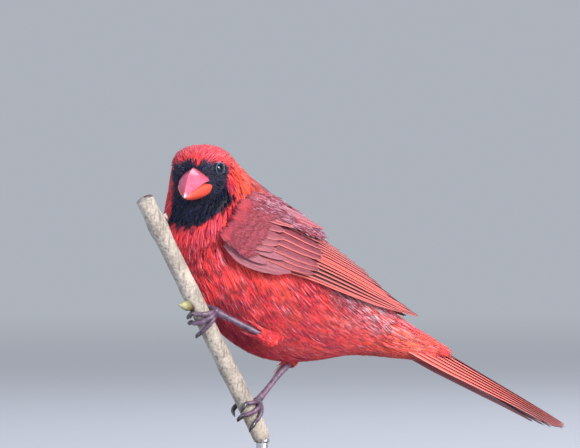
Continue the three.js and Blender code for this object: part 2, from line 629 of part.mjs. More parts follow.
// Legs and feet
function gripOf(side) {
  const leg = LEGS[side];
  const axisPoint = perchAt(leg.gripZ);
  const toHeel = vec(leg.heel).sub(axisPoint);
  const palm = toHeel.addScaledVector(perchAxis, -toHeel.dot(perchAxis)).normalize();
  const wrap = palm.clone().cross(perchAxis).normalize();
  const centre = axisPoint.clone().addScaledVector(palm, PERCH.radius + GAP + BALL_RADIUS);
  return { axisPoint, palm, wrap, centre };
}

// The line of a toe and its claw round the stem, and the share of it that is toe.
function toeLine(side, toe) {
  const { axisPoint, palm, wrap } = gripOf(side);
  const hold = PERCH.radius + GAP + toe.radius;
  const at = (angle, out, drift) => axisPoint.clone()
    .addScaledVector(palm, Math.cos(angle) * (hold + out))
    .addScaledVector(wrap, toe.wrap * Math.sin(angle) * (hold + out))
    .addScaledVector(perchAxis, drift);
  const bend = toe.length / (hold + TOE_PAD);
  const steps = 6;
  const points = span(steps + 1).map((s) => at(bend * s, TOE_ARCH * (1 - s) ** 3, toe.drift * s));
  const turn = toe.claw / (hold + 2);
  for (const { curl, out, droop } of CLAW_POINTS) {
    points.push(at(bend + turn * curl, out, toe.drift + CLAW_DROOP * droop));
  }
  return { points, toeShare: steps / (steps + CLAW_POINTS.length) };
}

function buildFoot(side) {
  const { centre } = gripOf(side);
  const toes = TOES.map((toe) => {
    const { points, toeShare } = toeLine(side, toe);
    return limb(points, TOE_SHAPE.map((share) => share * toe.radius), 9, 7, 0, toeShare);
  });
  return largest(join([ball(centre.toArray(), BALL_RADIUS, 10), ...toes]));
}

function buildClaw(side, toe) {
  const { points, toeShare } = toeLine(side, toe);
  const gapShare = (GAP * 1.9) / (toe.length + toe.claw);
  return limb(points, CLAW_SHAPE.map((share) => share * toe.radius), 5, 7, toeShare + gapShare, 1);
}

function buildTarsus(side) {
  const { centre } = gripOf(side);
  const heel = vec(LEGS[side].heel);
  const line = heel.clone().sub(centre).normalize();
  const start = centre.clone().addScaledVector(line, BALL_RADIUS + GAP);
  const points = span(TARSUS_RADII.length).map((s) => heel.clone().lerp(start, s));
  return limb(points, TARSUS_RADII, 8, 10);
}

function buildThigh(side) {
  const leg = LEGS[side];
  const { centre } = gripOf(side);
  const heel = vec(leg.heel);
  const line = heel.clone().sub(centre).normalize();
  const end = heel.clone().addScaledVector(line, GAP);
  const knee = end.clone().addScaledVector(line, leg.heelRadius * THIGH.kneeReach);
  const hip = vec(leg.hip);
  const points = [end, knee, knee.clone().lerp(hip, 0.5), hip];
  const radii = [
    leg.heelRadius, leg.heelRadius * THIGH.kneeSwell, leg.hipRadius * THIGH.middleSwell, leg.hipRadius,
  ];
  return largest(limb(points, radii, 8, 14).subtract(grownBody));
}

// Stand
function buildBase() {
  const { radius, height, round } = BASE;
  const rim = span(5).map((s) => {
    const angle = (s * Math.PI) / 2;
    return new THREE.Vector2(Math.cos(angle), Math.sin(angle))
      .multiplyScalar(round)
      .add(new THREE.Vector2(radius - round, height - round));
  });
  const point = (r, z) => new THREE.Vector2(r, z);
  const profile = [point(0, 0), point(radius, 0), ...rim, point(0, height)];
  return solid(new THREE.LatheGeometry(profile, 36).rotateX(Math.PI / 2));
}

function buildRod() {
  const [low, high] = [BASE.height + GAP, PERCH.bottomZ - GAP];
  const profile = [
    [0, low], [ROD.foot, low], [ROD.foot, low + ROD.footHeight * 0.6], [ROD.foot * 0.8, low + ROD.footHeight],
    [ROD.radius, low + ROD.footHeight], [ROD.radius, high - ROD.headHeight * 1.6],
    [ROD.head, high - ROD.headHeight], [ROD.head, high], [0, high],
  ].map(([r, z]) => new THREE.Vector2(r, z));
  const foot = perchAt(PERCH.bottomZ);
  return solid(new THREE.LatheGeometry(profile, 16).rotateX(Math.PI / 2).translate(foot.x, foot.y, 0));
}

const cardinal = new THREE.Group();
const wingSolid = buildWing();
const thighs = { left: buildThigh("left"), right: buildThigh("right") };
cardinal.add(mesh("torso", torsoPart, "red"));
cardinal.add(mesh("neck", neckPart, "red"));
cardinal.add(mesh("head", buildHead(), "red"));
cardinal.add(mesh("bill_upper", buildBillUpper(), "bill"));
cardinal.add(mesh("bill_lower", buildBill(BILL_LOWER_RIBS), "bill"));
cardinal.add(mesh("wing_left", largest(wingSolid.subtract(grownBody)), "dullRed"));
cardinal.add(mesh("wing_right", largest(wingSolid.mirror([0, 1, 0]).subtract(grownBody)), "dullRed"));
cardinal.add(mesh("tail", buildTail(), "dullRed"));
cardinal.add(mesh("eye_left", ball(eyePlace(1).toArray(), EYE.r, 16), "eye"));
cardinal.add(mesh("eye_right", ball(eyePlace(-1).toArray(), EYE.r, 16), "eye"));
for (const side of ["left", "right"]) {
  cardinal.add(mesh(`thigh_${side}`, thighs[side], "red"));
  cardinal.add(mesh(`tarsus_${side}`, buildTarsus(side), "leg"));
  cardinal.add(mesh(`foot_${side}`, buildFoot(side), "leg"));
  for (const toe of TOES) {
    cardinal.add(mesh(`claw_${side}_${toe.name}`, buildClaw(side, toe), "claw"));
  }
}
cardinal.add(mesh("perch", buildPerch(), "bark"));
cardinal.add(mesh("stand_base", buildBase(), "base"));
cardinal.add(mesh("stand_rod", buildRod(), "steel"));

export default cardinal;
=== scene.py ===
import math

import bpy
import numpy as np
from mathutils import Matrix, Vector, noise


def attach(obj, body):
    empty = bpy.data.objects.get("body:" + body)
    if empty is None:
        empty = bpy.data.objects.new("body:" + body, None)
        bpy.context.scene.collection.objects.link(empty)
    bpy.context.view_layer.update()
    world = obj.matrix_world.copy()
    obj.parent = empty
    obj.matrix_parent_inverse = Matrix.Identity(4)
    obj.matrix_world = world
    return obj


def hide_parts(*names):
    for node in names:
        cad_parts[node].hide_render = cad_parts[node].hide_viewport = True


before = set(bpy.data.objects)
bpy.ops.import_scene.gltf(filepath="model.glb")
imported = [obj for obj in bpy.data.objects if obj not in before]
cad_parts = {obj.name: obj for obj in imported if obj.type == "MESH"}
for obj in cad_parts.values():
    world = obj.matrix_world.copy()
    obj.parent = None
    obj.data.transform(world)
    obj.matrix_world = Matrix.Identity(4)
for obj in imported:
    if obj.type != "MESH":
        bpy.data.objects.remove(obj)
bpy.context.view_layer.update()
print("frame loaded")


# Number helpers: points are rows of an array, in millimetres
def unit(v):
    return v / np.maximum(np.linalg.norm(v, axis=-1, keepdims=True), 1e-9)


def sizeOf(v):
    return np.linalg.norm(v, axis=-1)


def mix(a, b, t):
    return a + (b - a) * t


def step(low, high, x):
    t = np.clip((x - low) / (high - low), 0, 1)
    return t * t * (3 - 2 * t)


def hump(x, middle, width):
    return np.exp(-(((x - middle) / width) ** 2))


def turnsOf(sides):
    return np.arange(sides) / sides * 2 * np.pi


def crossed(a, b):
    return np.meshgrid(a, b, indexing="ij")


def smooth(values, place):
    # a smooth value through a list, at places counted in list items
    v = np.asarray(values, float)
    i = np.clip(np.floor(place).astype(int), 0, len(v) - 2)
    s = place - i
    a, b, c, d = (v[np.clip(i + k, 0, len(v) - 1)] for k in (-1, 0, 1, 2))
    return 0.5 * (2 * b + (c - a) * s + (2 * a - 5 * b + 4 * c - d) * s**2 + (3 * b - a - 3 * c + d) * s**3)


def spline(points, share):
    # a centripetal curve through points, at shares from 0 to 1
    p = np.asarray(points, float)
    p = np.vstack([2 * p[0] - p[1], p, 2 * p[-1] - p[-2]])
    place = np.clip(share, 0, 1) * (len(p) - 3)
    i = np.clip(np.floor(place).astype(int), 0, len(p) - 4)
    t = (place - i)[..., None]
    p0, p1, p2, p3 = (p[i + k] for k in range(4))
    d0, d1, d2 = (np.sqrt(sizeOf(b - a))[..., None] for a, b in ((p0, p1), (p1, p2), (p2, p3)))
    m1 = ((p1 - p0) / d0 - (p2 - p0) / (d0 + d1) + (p2 - p1) / d1) * d1
    m2 = ((p2 - p1) / d1 - (p3 - p1) / (d1 + d2) + (p3 - p2) / d2) * d1
    return p1 + m1 * t + (3 * (p2 - p1) - 2 * m1 - m2) * t**2 + (2 * (p1 - p2) + m1 + m2) * t**3


# Camera at the photograph's angle, lights and surround
photoView = {"azimuth": -18, "elevation": 1, "distance": 3500, "width": 236.7, "right": 2.04, "height": 105.3,
             "sensor": 36}
lightRows = [  # name, azimuth, elevation, distance, size, power, colour
    ("keyLight", 14, 27, 1300, 0.4, 24, (1.0, 0.95, 0.88)),
    ("lowLight", 26, 3, 1300, 0.6, 8, (1.0, 0.93, 0.92)),
    ("fillLight", -75, 20, 1400, 0.9, 8, (0.7, 0.82, 1.0)),
    ("rimLight", 140, 50, 1300, 0.7, 14, (0.86, 0.9, 1.0)),
]
lightCentre = np.array([0.0, 0.0, 90.0])
surround = {"Color": (0.84, 0.90, 1.0, 1), "Strength": 0.5}


def addObject(name, data):
    made = bpy.data.objects.new(name, data)
    bpy.context.collection.objects.link(made)
    return made


def wayTo(azimuth, elevation):
    a, e = math.radians(azimuth), math.radians(elevation)
    return np.array([math.sin(a) * math.cos(e), -math.cos(a) * math.cos(e), math.sin(e)])


def addAimed(name, data, place, target):
    thing = addObject(name, data)
    thing.location = Vector(place * 0.001)
    thing.rotation_mode = "QUATERNION"
    thing.rotation_quaternion = Vector(target - place).to_track_quat("-Z", "Y")
    return thing


def makeCamera(view):
    back = wayTo(view["azimuth"], view["elevation"])
    right = unit(np.cross([0, 0, 1], back))
    target = right * view["right"] + np.cross(back, right) * view["height"]
    data = bpy.data.cameras.new("camera")
    data.sensor_width = view["sensor"]
    data.lens = view["sensor"] * view["distance"] / view["width"]
    data.clip_start, data.clip_end = 0.1, 100
    bpy.context.scene.camera = addAimed("camera", data, target + back * view["distance"], target)


def makeLights():
    for name, azimuth, elevation, distance, size, power, colour in lightRows:
        data = bpy.data.lights.new(name, "AREA")
        data.shape, data.size, data.energy, data.color = "DISK", size, power, colour
        addAimed(name, data, lightCentre + wayTo(azimuth, elevation) * distance, lightCentre)
    world = bpy.data.worlds.new("paleRoom")
    bpy.context.scene.world = world
    world.use_nodes = True
    for label, value in surround.items():
        world.node_tree.nodes["Background"].inputs[label].default_value = value
    bpy.context.scene.view_settings.view_transform = "Standard"


makeCamera(photoView)
makeLights()
print("camera and lights made")


# Nodes: one helper for materials, shader groups and geometry trees
class Nodes:
    def __init__(self, tree):
        self.tree = tree

    def put(self, socket, value):
        if isinstance(value, bpy.types.NodeSocket):
            self.tree.links.new(value, socket)
        else:
            socket.default_value = value

    def add(self, kind, inputs=None, **settings):
        node = self.tree.nodes.new(kind)
        for key, value in settings.items():
            setattr(node, key, value)
        for key, value in (inputs or {}).items():
            self.put(node.inputs[key], value)
        return node

    def maths(self, operation, *values):
        return self.add("ShaderNodeMath", dict(enumerate(values)), operation=operation).outputs[0]

    def times(self, a, b):
        return self.maths("MULTIPLY", a, b)

    def plus(self, a, b):
        return self.maths("ADD", a, b)

    def blend(self, share, a, b):
        return self.add("ShaderNodeMix", {"Factor": share, 6: a, 7: b}, data_type="RGBA").outputs[2]

    def read(self, name):
        return self.add("ShaderNodeAttribute", attribute_name=name).outputs["Fac"]

    def ramp(self, value, low, high, toLow=0.0, toHigh=1.0):
        given = {"Value": value, 1: low, 2: high, 3: toLow, 4: toHigh}
        return self.add("ShaderNodeMapRange", given, clamp=True, interpolation_type="SMOOTHSTEP").outputs[0]

    def cloud(self, place, scale, detail):
        given = {"Vector": place, "Scale": scale, "Detail": detail}
        return self.add("ShaderNodeTexNoise", given).outputs["Fac"]

    def place(self, **turned):
        place = self.add("ShaderNodeTexCoord").outputs["Object"]
        return self.add("ShaderNodeMapping", {"Vector": place, **turned}).outputs[0] if turned else place

    def joined(self, x, y, z):
        return self.add("ShaderNodeCombineXYZ", {"X": x, "Y": y, "Z": z}).outputs[0]

    def use(self, group, **inputs):
        return self.add("ShaderNodeGroup", inputs, node_tree=group).outputs[0]

    def mottled(self, coarse, fine, balance, place=None):
        return self.use(mottle, Place=place or self.place(), Coarse=coarse, Fine=fine, Balance=balance)

    def close(self, colour, rough=None, bump=None):
        # colour, roughness and bump (height, strength, distance) into the shader
        sockets = self.tree.nodes["Principled BSDF"].inputs
        self.put(sockets["Base Color"], colour)
        if rough is not None:
            self.put(sockets["Roughness"], rough)
        if bump:
            relief = self.add("ShaderNodeBump", dict(zip(("Height", "Strength", "Distance"), bump)))
            self.put(sockets["Normal"], relief.outputs[0])
        return self.material


def newMaterial(name, **fixed):
    material = bpy.data.materials.new(name)
    material.use_nodes = True
    n = Nodes(material.node_tree)
    n.material = material
    for label, value in fixed.items():
        n.tree.nodes["Principled BSDF"].inputs[label.replace("_", " ")].default_value = value
    return n


def newGroup(name, output, **inputs):
    group = bpy.data.node_groups.new(name, "ShaderNodeTree")
    for label, value in inputs.items():
        kind = "NodeSocketVector" if value is None else "NodeSocketFloat"
        socket = group.interface.new_socket(label, in_out="INPUT", socket_type=kind)
        if value is not None:
            socket.default_value = value
    group.interface.new_socket(output, in_out="OUTPUT", socket_type="NodeSocketFloat")
    given, out = group.nodes.new("NodeGroupInput").outputs, group.nodes.new("NodeGroupOutput").inputs
    return Nodes(group), given, out[output]


def barbLinesGroup():
    # fine slanted barb lines on a vane, from its along and across attributes
    n, given, out = newGroup("barbLines", "Line", Along=0.0, Across=0.0, Lines=60.0, Slant=0.25, Wander=0.3,
                             Seed=0.0)
    slant = n.times(n.maths("ABSOLUTE", given["Across"]), given["Slant"])
    shifted = n.maths("SUBTRACT", given["Along"], slant)
    wobble = n.cloud(n.joined(shifted, given["Across"], given["Seed"]), 9.0, 2.0)
    phase = n.plus(n.times(shifted, given["Lines"]), n.times(wobble, n.times(given["Wander"], 10.0)))
    n.put(out, n.maths("MULTIPLY_ADD", n.maths("SINE", n.times(phase, 2 * math.pi)), 0.5, 0.5))
    return n.tree


def mottleGroup():
    # two sizes of soft noise, as a value round 0.5
    n, given, out = newGroup("mottle", "Value", Place=None, Coarse=60.0, Fine=600.0, Balance=0.5)
    coarse, fine = n.cloud(given["Place"], given["Coarse"], 3.0), n.cloud(given["Place"], given["Fine"], 2.0)
    n.put(out, n.add("ShaderNodeMix", {"Factor": given["Balance"], 2: coarse, 3: fine}).outputs[0])
    return n.tree


barbLines = barbLinesGroup()
mottle = mottleGroup()


def speckled(name, look):
    # a finish of two colours in soft spots, its roughness between two values
    n = newMaterial(name, **look["fixed"])
    spots = n.mottled(*look["sizes"], n.place(**look.get("turned", {})))
    colour = look["light"]
    if "dark" in look:
        colour = n.blend(n.ramp(spots, *look["spread"]), look["dark"], colour)
    rough = n.ramp(spots, 0.3, 0.7, *look["rough"]) if "rough" in look else look["fixed"]["Roughness"]
    return n.close(colour, rough, (spots, *look["bump"]) if "bump" in look else None)


# Meshes
def setValues(mesh, values):
    for label, data in values.items():
        mesh.attributes.new(label, "FLOAT", "POINT").data.foreach_set("value", data.astype(np.float32))


def makeObject(name, points, faces, material, values=None, patches=None):
    # faces is one array of triangles or quads, or a list of such arrays
    # patches are the points' places in the bake map
    mesh = bpy.data.meshes.new(name)
    groups = faces if isinstance(faces, list) else [faces]
    mesh.vertices.add(len(points))
    mesh.vertices.foreach_set("co", (np.asarray(points) * 0.001).astype(np.float32).ravel())
    corners = np.concatenate([g.ravel() for g in groups])
    sizes = np.concatenate([np.full(len(g), g.shape[1]) for g in groups])
    starts = np.concatenate([[0], np.cumsum(sizes)[:-1]])
    mesh.loops.add(len(corners))
    mesh.loops.foreach_set("vertex_index", corners.astype(np.int32))
    mesh.polygons.add(len(starts))
    mesh.polygons.foreach_set("loop_start", starts.astype(np.int32))
    mesh.polygons.foreach_set("use_smooth", np.ones(len(starts), bool))
    mesh.update(calc_edges=True)
    setValues(mesh, values or {})
    if patches is not None:
        layer = mesh.uv_layers.new(name="OFBake")
        layer.data.foreach_set("uv", patches[corners].astype(np.float32).ravel())
    mesh.materials.append(material)
    return addObject(name, mesh)


def gridFaces(rows, columns, closed=True):
    # quads of a rows x columns grid of points, the columns joined up where closed
    across = np.arange(columns if closed else columns - 1)
    r, c = (part.ravel() for part in crossed(np.arange(rows - 1), across))
    n = (c + 1) % columns
    return np.stack([r * columns + c, r * columns + n, (r + 1) * columns + n, (r + 1) * columns + c], 1)


def tubeMesh(rings):
    # points, quads and end triangles of a closed tube through rings (rows, sides, 3), its faces pointing out
    rows, sides = rings.shape[:2]
    points = np.vstack([rings.reshape(-1, 3), rings[0].mean(0), rings[-1].mean(0)])
    k = np.arange(sides)
    n = (k + 1) % sides
    last = (rows - 1) * sides
    ends = np.vstack([np.stack([np.full(sides, rows * sides), n, k], 1),
                      np.stack([np.full(sides, rows * sides + 1), last + k, last + n], 1)])
    quads = gridFaces(rows, sides)
    a, b, d = points[quads[:, 0]], points[quads[:, 1]], points[quads[:, 3]]
    volume = np.einsum("ij,ij->", np.cross(b - a, d - a), a - rings.mean((0, 1)))
    return (points, quads[:, ::-1], ends[:, ::-1]) if volume < 0 else (points, quads, ends)


def hoop(centre, first, second, radii):
    # a ring of points with one radius for each
    turns = turnsOf(len(radii))[:, None]
    return centre + (np.cos(turns) * first + np.sin(turns) * second) * radii[:, None]


def pathRings(centres, radii, sides, start=(0.3, 0.9, 0.1), profile=lambda t, a: 1.0):
    # rings round a line of centres; profile(t, angle) scales the radius
    side, rings = np.array(start, float), []
    for i, (centre, tangent) in enumerate(zip(centres, unit(np.gradient(centres, axis=0)))):
        side = unit(side - tangent * side.dot(tangent))
        scale = profile(i / (len(centres) - 1), turnsOf(sides))
        rings.append(hoop(centre, side, np.cross(tangent, side), radii[i] * scale * np.ones(sides)))
    return np.array(rings)


def ballRings(way, first, second, rows, sides, gap):
    # directions all round, and their angle from the way
    polar, turn = crossed(np.linspace(gap, np.pi - gap, rows), turnsOf(sides))
    spokes = np.cos(turn)[..., None] * first + np.sin(turn)[..., None] * second
    return np.cos(polar)[..., None] * way + np.sin(polar)[..., None] * spokes, polar


def finish(piece, slotName, *nodes):
    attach(piece, "root")
    if nodes:
        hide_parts(*nodes)
    return piece


def makeTube(name, rings, material, slotName, *nodes, values=None):
    points, quads, ends = tubeMesh(rings)
    return finish(makeObject(name, points, [quads, ends], material, values), slotName, *nodes)


# Body: one lofted form from tail root to bill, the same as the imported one
headYaw = 56
neckAxis = np.array([-35.0, 0.0])
bodyRibs = [  # yaw, back ahead and height, belly ahead and height, half width, keel, brow
    (0, -87, 64.5, -78, 51, 9, 0.1, 0), (0, -76, 74, -63, 52, 13, 0.15, 0),
    (0, -64, 86, -47, 50, 16.8, 0.2, 0), (0, -52, 98, -32, 50, 19.8, 0.25, 0),
    (0, -40, 109, -18, 54.5, 21.2, 0.28, 0),
    (0, -28, 118, -3, 66, 21.6, 0.25, 0), (5, -20, 124.3, 9, 81, 21, 0.15, 0),
    (17, -16.4, 128, 14, 93, 19.8, 0.05, 0), (28, -12.8, 131, 15.4, 101.6, 17, 0, 0.06),
    (37, -8.6, 133.7, 15, 107.2, 14.8, 0, 0.18), (45, -3.8, 136.1, 14.2, 110.8, 13.3, 0, 0.3),
    (51.5, 1.6, 137.2, 14, 113, 12.5, 0, 0.36), (56, 7, 137.4, 14.4, 114.4, 11.8, 0, 0.36),
    (56, 12, 135.8, 15.1, 115.2, 10.3, 0, 0.3), (56, 16, 132.8, 16, 116.1, 7.6, 0, 0.2),
    (56, 18.6, 129, 17, 117.2, 5.2, 0, 0.1),
]
# the coat runs on over the roots of the tail feathers
tailCoverRibs = [(0, -112.7, 48.5, -107.4, 45.2, 4.6, 0.1, 0), (0, -100.8, 56.3, -95.1, 49, 5.8, 0.1, 0)]
headShift = 1.4  # how far the head sits to its own left of the neck axis


def fromHead(ahead, side, z, yaw=headYaw):
    c, s = np.cos(np.radians(yaw)), np.sin(np.radians(yaw))
    across = side + headShift * yaw / headYaw
    x, y = neckAxis[0] - ahead * c + across * s, neckAxis[1] - ahead * s - across * c
    return np.stack(np.broadcast_arrays(x, y, z), -1)


def toHead(points):
    # ahead, side and height of points in the turned head's own frame
    c, s = math.cos(math.radians(headYaw)), math.sin(math.radians(headYaw))
    dx, dy = points[..., 0] - neckAxis[0], points[..., 1] - neckAxis[1]
    return -dx * c - dy * s, dx * s - dy * c - headShift, points[..., 2]


def ribPoint(ribs, place, angle, grow):
    yaw, backAhead, backZ, bellyAhead, bellyZ, half, keel, brow = (smooth(row, place) for row in zip(*ribs))
    ahead, z = (backAhead + bellyAhead) / 2, (backZ + bellyZ) / 2
    height = np.hypot(backAhead - bellyAhead, backZ - bellyZ) / 2
    lift = np.sin(angle) * (1 + grow / height)
    wider = 1 + np.where(lift < 0, -keel, brow) * np.sin(angle) ** 2
    side = np.cos(angle) * (half + grow) * wider
    return fromHead(ahead + (backAhead - ahead) * lift, side, z + (backZ - z) * lift, yaw)


def bodyPoint(place, angle, grow=0.0):
    return ribPoint(bodyRibs, place, angle, grow)


def coatPoint(place, angle, grow=0.0):
    return ribPoint(tailCoverRibs + bodyRibs, place + len(tailCoverRibs), angle, grow)


legs = {  # tuft is the stretch of the thigh that carries feathers
    "left": {"tuft": (1.2, 8.5), "gripZ": 68.2, "heel": [-15.5, -18.2, 60.6], "hip": [0, -7, 60],
             "hipRadius": 1.716, "heelRadius": 3.2},
    "right": {"tuft": (3.2, 7), "gripZ": 30, "heel": [2.2, 3.8, 48], "hip": [11, 9, 58],
              "hipRadius": 1.69, "heelRadius": 2.9},
}
thighShape = {"knee": 0.9, "end": 0.85, "beyond": 14, "near": 0.02}
stem = {"low": [-16.3, -4, 28.6], "high": [-52.6, -20, 89.9], "radius": 3.6, "bottomZ": 18.4, "topZ": 116}
footGap = 0.3
ballRadius = 1.9
stemLow = np.array(stem["low"], float)
stemAxis = unit(np.array(stem["high"], float) - stemLow)


def onStem(z):
    return stemLow + stemAxis * ((np.asarray(z, float) - stemLow[2]) / stemAxis[2])[..., None]


def gripOf(side):
    # where the foot holds the stem: the axis there, the palm's way, the toes' way and the ball of the foot
    axisPoint = onStem(legs[side]["gripZ"])
    toHeel = np.array(legs[side]["heel"]) - axisPoint
    palm = unit(toHeel - stemAxis * toHeel.dot(stemAxis))
    ball = axisPoint + palm * (stem["radius"] + footGap + ballRadius)
    return axisPoint, palm, np.cross(palm, stemAxis), ball


def thighPoint(side):
    # a surface whose place runs from 0 at the heel to 10 at the hip; angle 90 degrees looks up
    leg = legs[side]
    heel, hip = np.array(leg["heel"], float), np.array(leg["hip"], float)
    line = unit(heel - gripOf(side)[3])
    end = heel + line * footGap
    knee = end + line * leg["heelRadius"] * thighShape["knee"]
    points = [end, knee, mix(knee, hip, 0.5), hip]
    radii = [leg["heelRadius"] * thighShape["end"], leg["heelRadius"], leg["hipRadius"], leg["hipRadius"]]

    def at(place, angle, grow=0.0):
        share, near = place / 10, thighShape["near"]
        inside = np.clip(share, 0, 1)
        tangent = unit(spline(points, inside + near) - spline(points, inside - near))
        centre = spline(points, inside) + tangent * (share - inside)[..., None] * thighShape["beyond"]
        across = unit(np.cross([0.0, 0.0, 1.0], tangent))
        up = np.cross(tangent, across)
        r = smooth(radii, inside * 3) + grow
        return centre + across * (np.cos(angle) * r)[..., None] + up * (np.sin(angle) * r)[..., None]

    return at


def frameAt(surface, place, angle, outward=None):
    # point, outward way, millimetres per place and per radian
    dp, da = 0.04, 0.03
    here = surface(place, angle)
    onward = (surface(place + dp, angle) - surface(place - dp, angle)) / (2 * dp)
    around = (surface(place, angle + da) - surface(place, angle - da)) / (2 * da)
    out = unit(np.cross(onward, around))
    rough = outward(place, angle) if outward else here - (surface(place, angle + np.pi) + here) / 2
    return here, out * np.sign(np.einsum("...i,...i->...", out, rough))[..., None], onward, around


coatDepth = 1.6
maskEdge = {"ahead": 8.6, "aheadBib": 7.6, "bibZ": 120, "top": 129.9, "bottom": 104.4, "curve": 0.035,
            "middle": -4.0, "far": -10.2, "chinZ": 118, "chin": 0.25, "wander": 0.9}
# under is the way the underside faces where shade is painted on it
markPlaces = {"napeSlope": 0.62, "napeZ": 118, "napeX": -15, "rump": (30, 13), "warm": (42, 17),
              "under": unit(np.array([-0.55, -0.1, -0.8]))}
# where each mark fades in, first none of it and then all of it
markSteps = {"edge": (-0.6, 0.6), "nape": (-3, 4), "upward": (0.1, 0.55), "mantleZ": (76, 86),
             "rumpLowZ": (62, 72), "rumpHighZ": (92, 84), "drift": (0.1, 0.6), "backX": (5, 25),
             "under": (0.4, 0.9), "underZ": (80, 68), "crown": (0.45, 0.95), "crownZ": (124, 134),
             "breast": (0.35, 0.8), "breastZ": (112, 102), "ventZ": (70, 60), "nearBill": (7, 2),
             "faceZ": (108, 116), "warmDrift": (0.0, 0.5), "frontX": (-45, -20)}


def fade(label, x):
    return step(*markSteps[label], x)


def markings(points, outward):
    # where the plumage is black, dull, pale or orange, and where shade is painted on it: the same for skin
    # and coat
    ahead, side, z = toHead(points)
    x, y = points[:, 0], points[:, 1]
    wander = np.array([noise.noise(Vector(p) * 0.35) for p in points])
    drift = np.array([noise.noise(Vector(p) * 0.12 + Vector((7, 3, 1))) for p in points])
    bottom = maskEdge["bottom"] + maskEdge["curve"] * (side - maskEdge["middle"]) ** 2
    back = np.where(z > maskEdge["bibZ"], maskEdge["ahead"], maskEdge["aheadBib"])
    chin = maskEdge["chin"] * np.maximum(0, maskEdge["chinZ"] - z)
    front = np.minimum(np.minimum(ahead - back, z - bottom), side - maskEdge["far"] + chin)
    black = fade("edge", np.minimum(front, maskEdge["top"] - z) + maskEdge["wander"] * wander)
    # the mantle starts behind a line that slopes from nape to shoulder
    nape = x + markPlaces["napeSlope"] * (z - markPlaces["napeZ"]) - markPlaces["napeX"]
    dull = fade("nape", nape + 4 * wander) * fade("upward", outward[:, 2] + 0.2 * np.abs(outward[:, 1]))
    dull = dull * fade("mantleZ", z + 0.3 * np.abs(y))
    rump = hump(x, *markPlaces["rump"]) * fade("rumpLowZ", z) * fade("rumpHighZ", z)
    rump = np.clip(rump + 0.5 * fade("drift", drift) * fade("backX", x), 0, 1)
    # painted shade: darker on the underside that faces down and forward, on the upward-facing crown and on
    # the breast side that faces away from the lights
    under = 0.8 * fade("under", outward @ markPlaces["under"]) * fade("underZ", z)
    crown = 0.75 * fade("crown", outward[:, 2]) * fade("crownZ", z)
    breast = 0.35 * fade("breast", -outward[:, 0]) * fade("breastZ", z)
    warm = hump(x, *markPlaces["warm"]) * fade("ventZ", z)
    warm = warm + 0.8 * fade("nearBill", ahead) * fade("faceZ", z)
    warm = warm + 0.45 * fade("warmDrift", drift) * fade("frontX", x)
    return {"black": black, "dull": dull, "pale": rump, "shade": np.clip(under + crown + breast, 0, 1),
            "warm": np.clip(warm, 0, 1)}


# Plumage finish
redPlumage = {
    "bright": (0.93, 0.062, 0.060, 1), "deep": (0.40, 0.014, 0.065, 1), "warm": (0.98, 0.14, 0.06, 1),
    # the first colour below is a pale lilac painted highlight
    "paintedLilacHighlight": (0.80, 0.38, 0.50, 1), "rose": (0.93, 0.17, 0.19, 1), "dull": (0.25, 0.036, 0.060, 1),
    # the third colour below is the dark purple used for painted shade
    "dullEdge": (0.50, 0.36, 0.52, 1), "pale": (0.68, 0.52, 0.60, 1), "shade": (0.34, 0.018, 0.06, 1),
    "root": (0.20, 0.015, 0.03, 1), "night": (0.07, 0.010, 0.03, 1), "black": (0.0008, 0.004, 0.018, 1),
    # a navy blue painted sheen for the black mask
    "paintedBlueSheen": (0.004, 0.030, 0.13, 1),
}


def plumageMaterial(look):
    n = newMaterial("redPlumage", Sheen_Weight=0.12, Sheen_Roughness=0.4, Sheen_Tint=(0.9, 0.7, 0.9, 1),
                    Specular_IOR_Level=0.25)
    rand, along = n.read("rand"), n.read("along")
    patch = n.plus(n.mottled(55.0, 320.0, 0.4), n.times(n.read("plume"), 0.16))
    red = n.blend(n.ramp(patch, 0.5, 0.76, 0.0, 0.8), look["bright"], look["deep"])
    red = n.blend(n.read("warm"), red, look["warm"])
    red = n.blend(n.ramp(rand, 0.22, 0.0), red, look["deep"])
    red = n.blend(n.ramp(rand, 0.7, 0.95, 0.0, 0.7), red, look["rose"])
    # painted highlight: a few barbs turn pale lilac towards their tips
    red = n.blend(n.times(n.ramp(rand, 0.92, 1.0, 0.0, 0.9), n.ramp(along, 0.3, 0.8)), red, look["paintedLilacHighlight"])
    dull = n.blend(n.ramp(rand, 0.35, 0.0, 0.0, 0.8), look["dull"], look["night"])
    dull = n.blend(n.times(n.ramp(rand, 0.6, 0.95), n.ramp(along, 0.45, 0.9)), dull, look["dullEdge"])
    colour = n.blend(n.read("dull"), red, dull)
    colour = n.blend(n.times(n.read("pale"), n.ramp(rand, 0.35, 0.8)), colour, look["pale"])
    # painted shade on the underside, the breast side and the crown
    colour = n.blend(n.times(n.read("shade"), 0.6), colour, look["shade"])
    colour = n.blend(n.ramp(along, 0.0, 0.3, 0.7, 0.0), colour, look["root"])
    # the black mask, its black tinted navy as part of the painted sheen, with a share of its barbs in painted
    # blue sheen
    mask = n.blend(n.ramp(rand, 0.8, 1.0, 0.0, 0.8), look["black"], look["paintedBlueSheen"])
    return n.close(n.blend(n.read("black"), colour, mask), n.ramp(rand, 0.0, 1.0, 0.5, 0.75))


plumage = plumageMaterial(redPlumage)
skinLook = {"body": (0.05, 15, 240, 128, coatDepth), "thigh": (0.1, 9.9, 40, 48, 1.1),
            "values": {"rand": 0.4, "plume": 0.5, "along": 0.4}}


def skinPart(surface, first, last, rings, sides, depth):
    points, quads, ends = tubeMesh(surface(*crossed(np.linspace(first, last, rings), turnsOf(sides)), -depth))
    return makeObject("skinPart", points, [quads, ends], plumage)


def readVectors(mesh, label):
    flat = np.empty(len(mesh.vertices) * 3)
    mesh.vertices.foreach_get(label, flat)
    return flat.reshape(-1, 3)


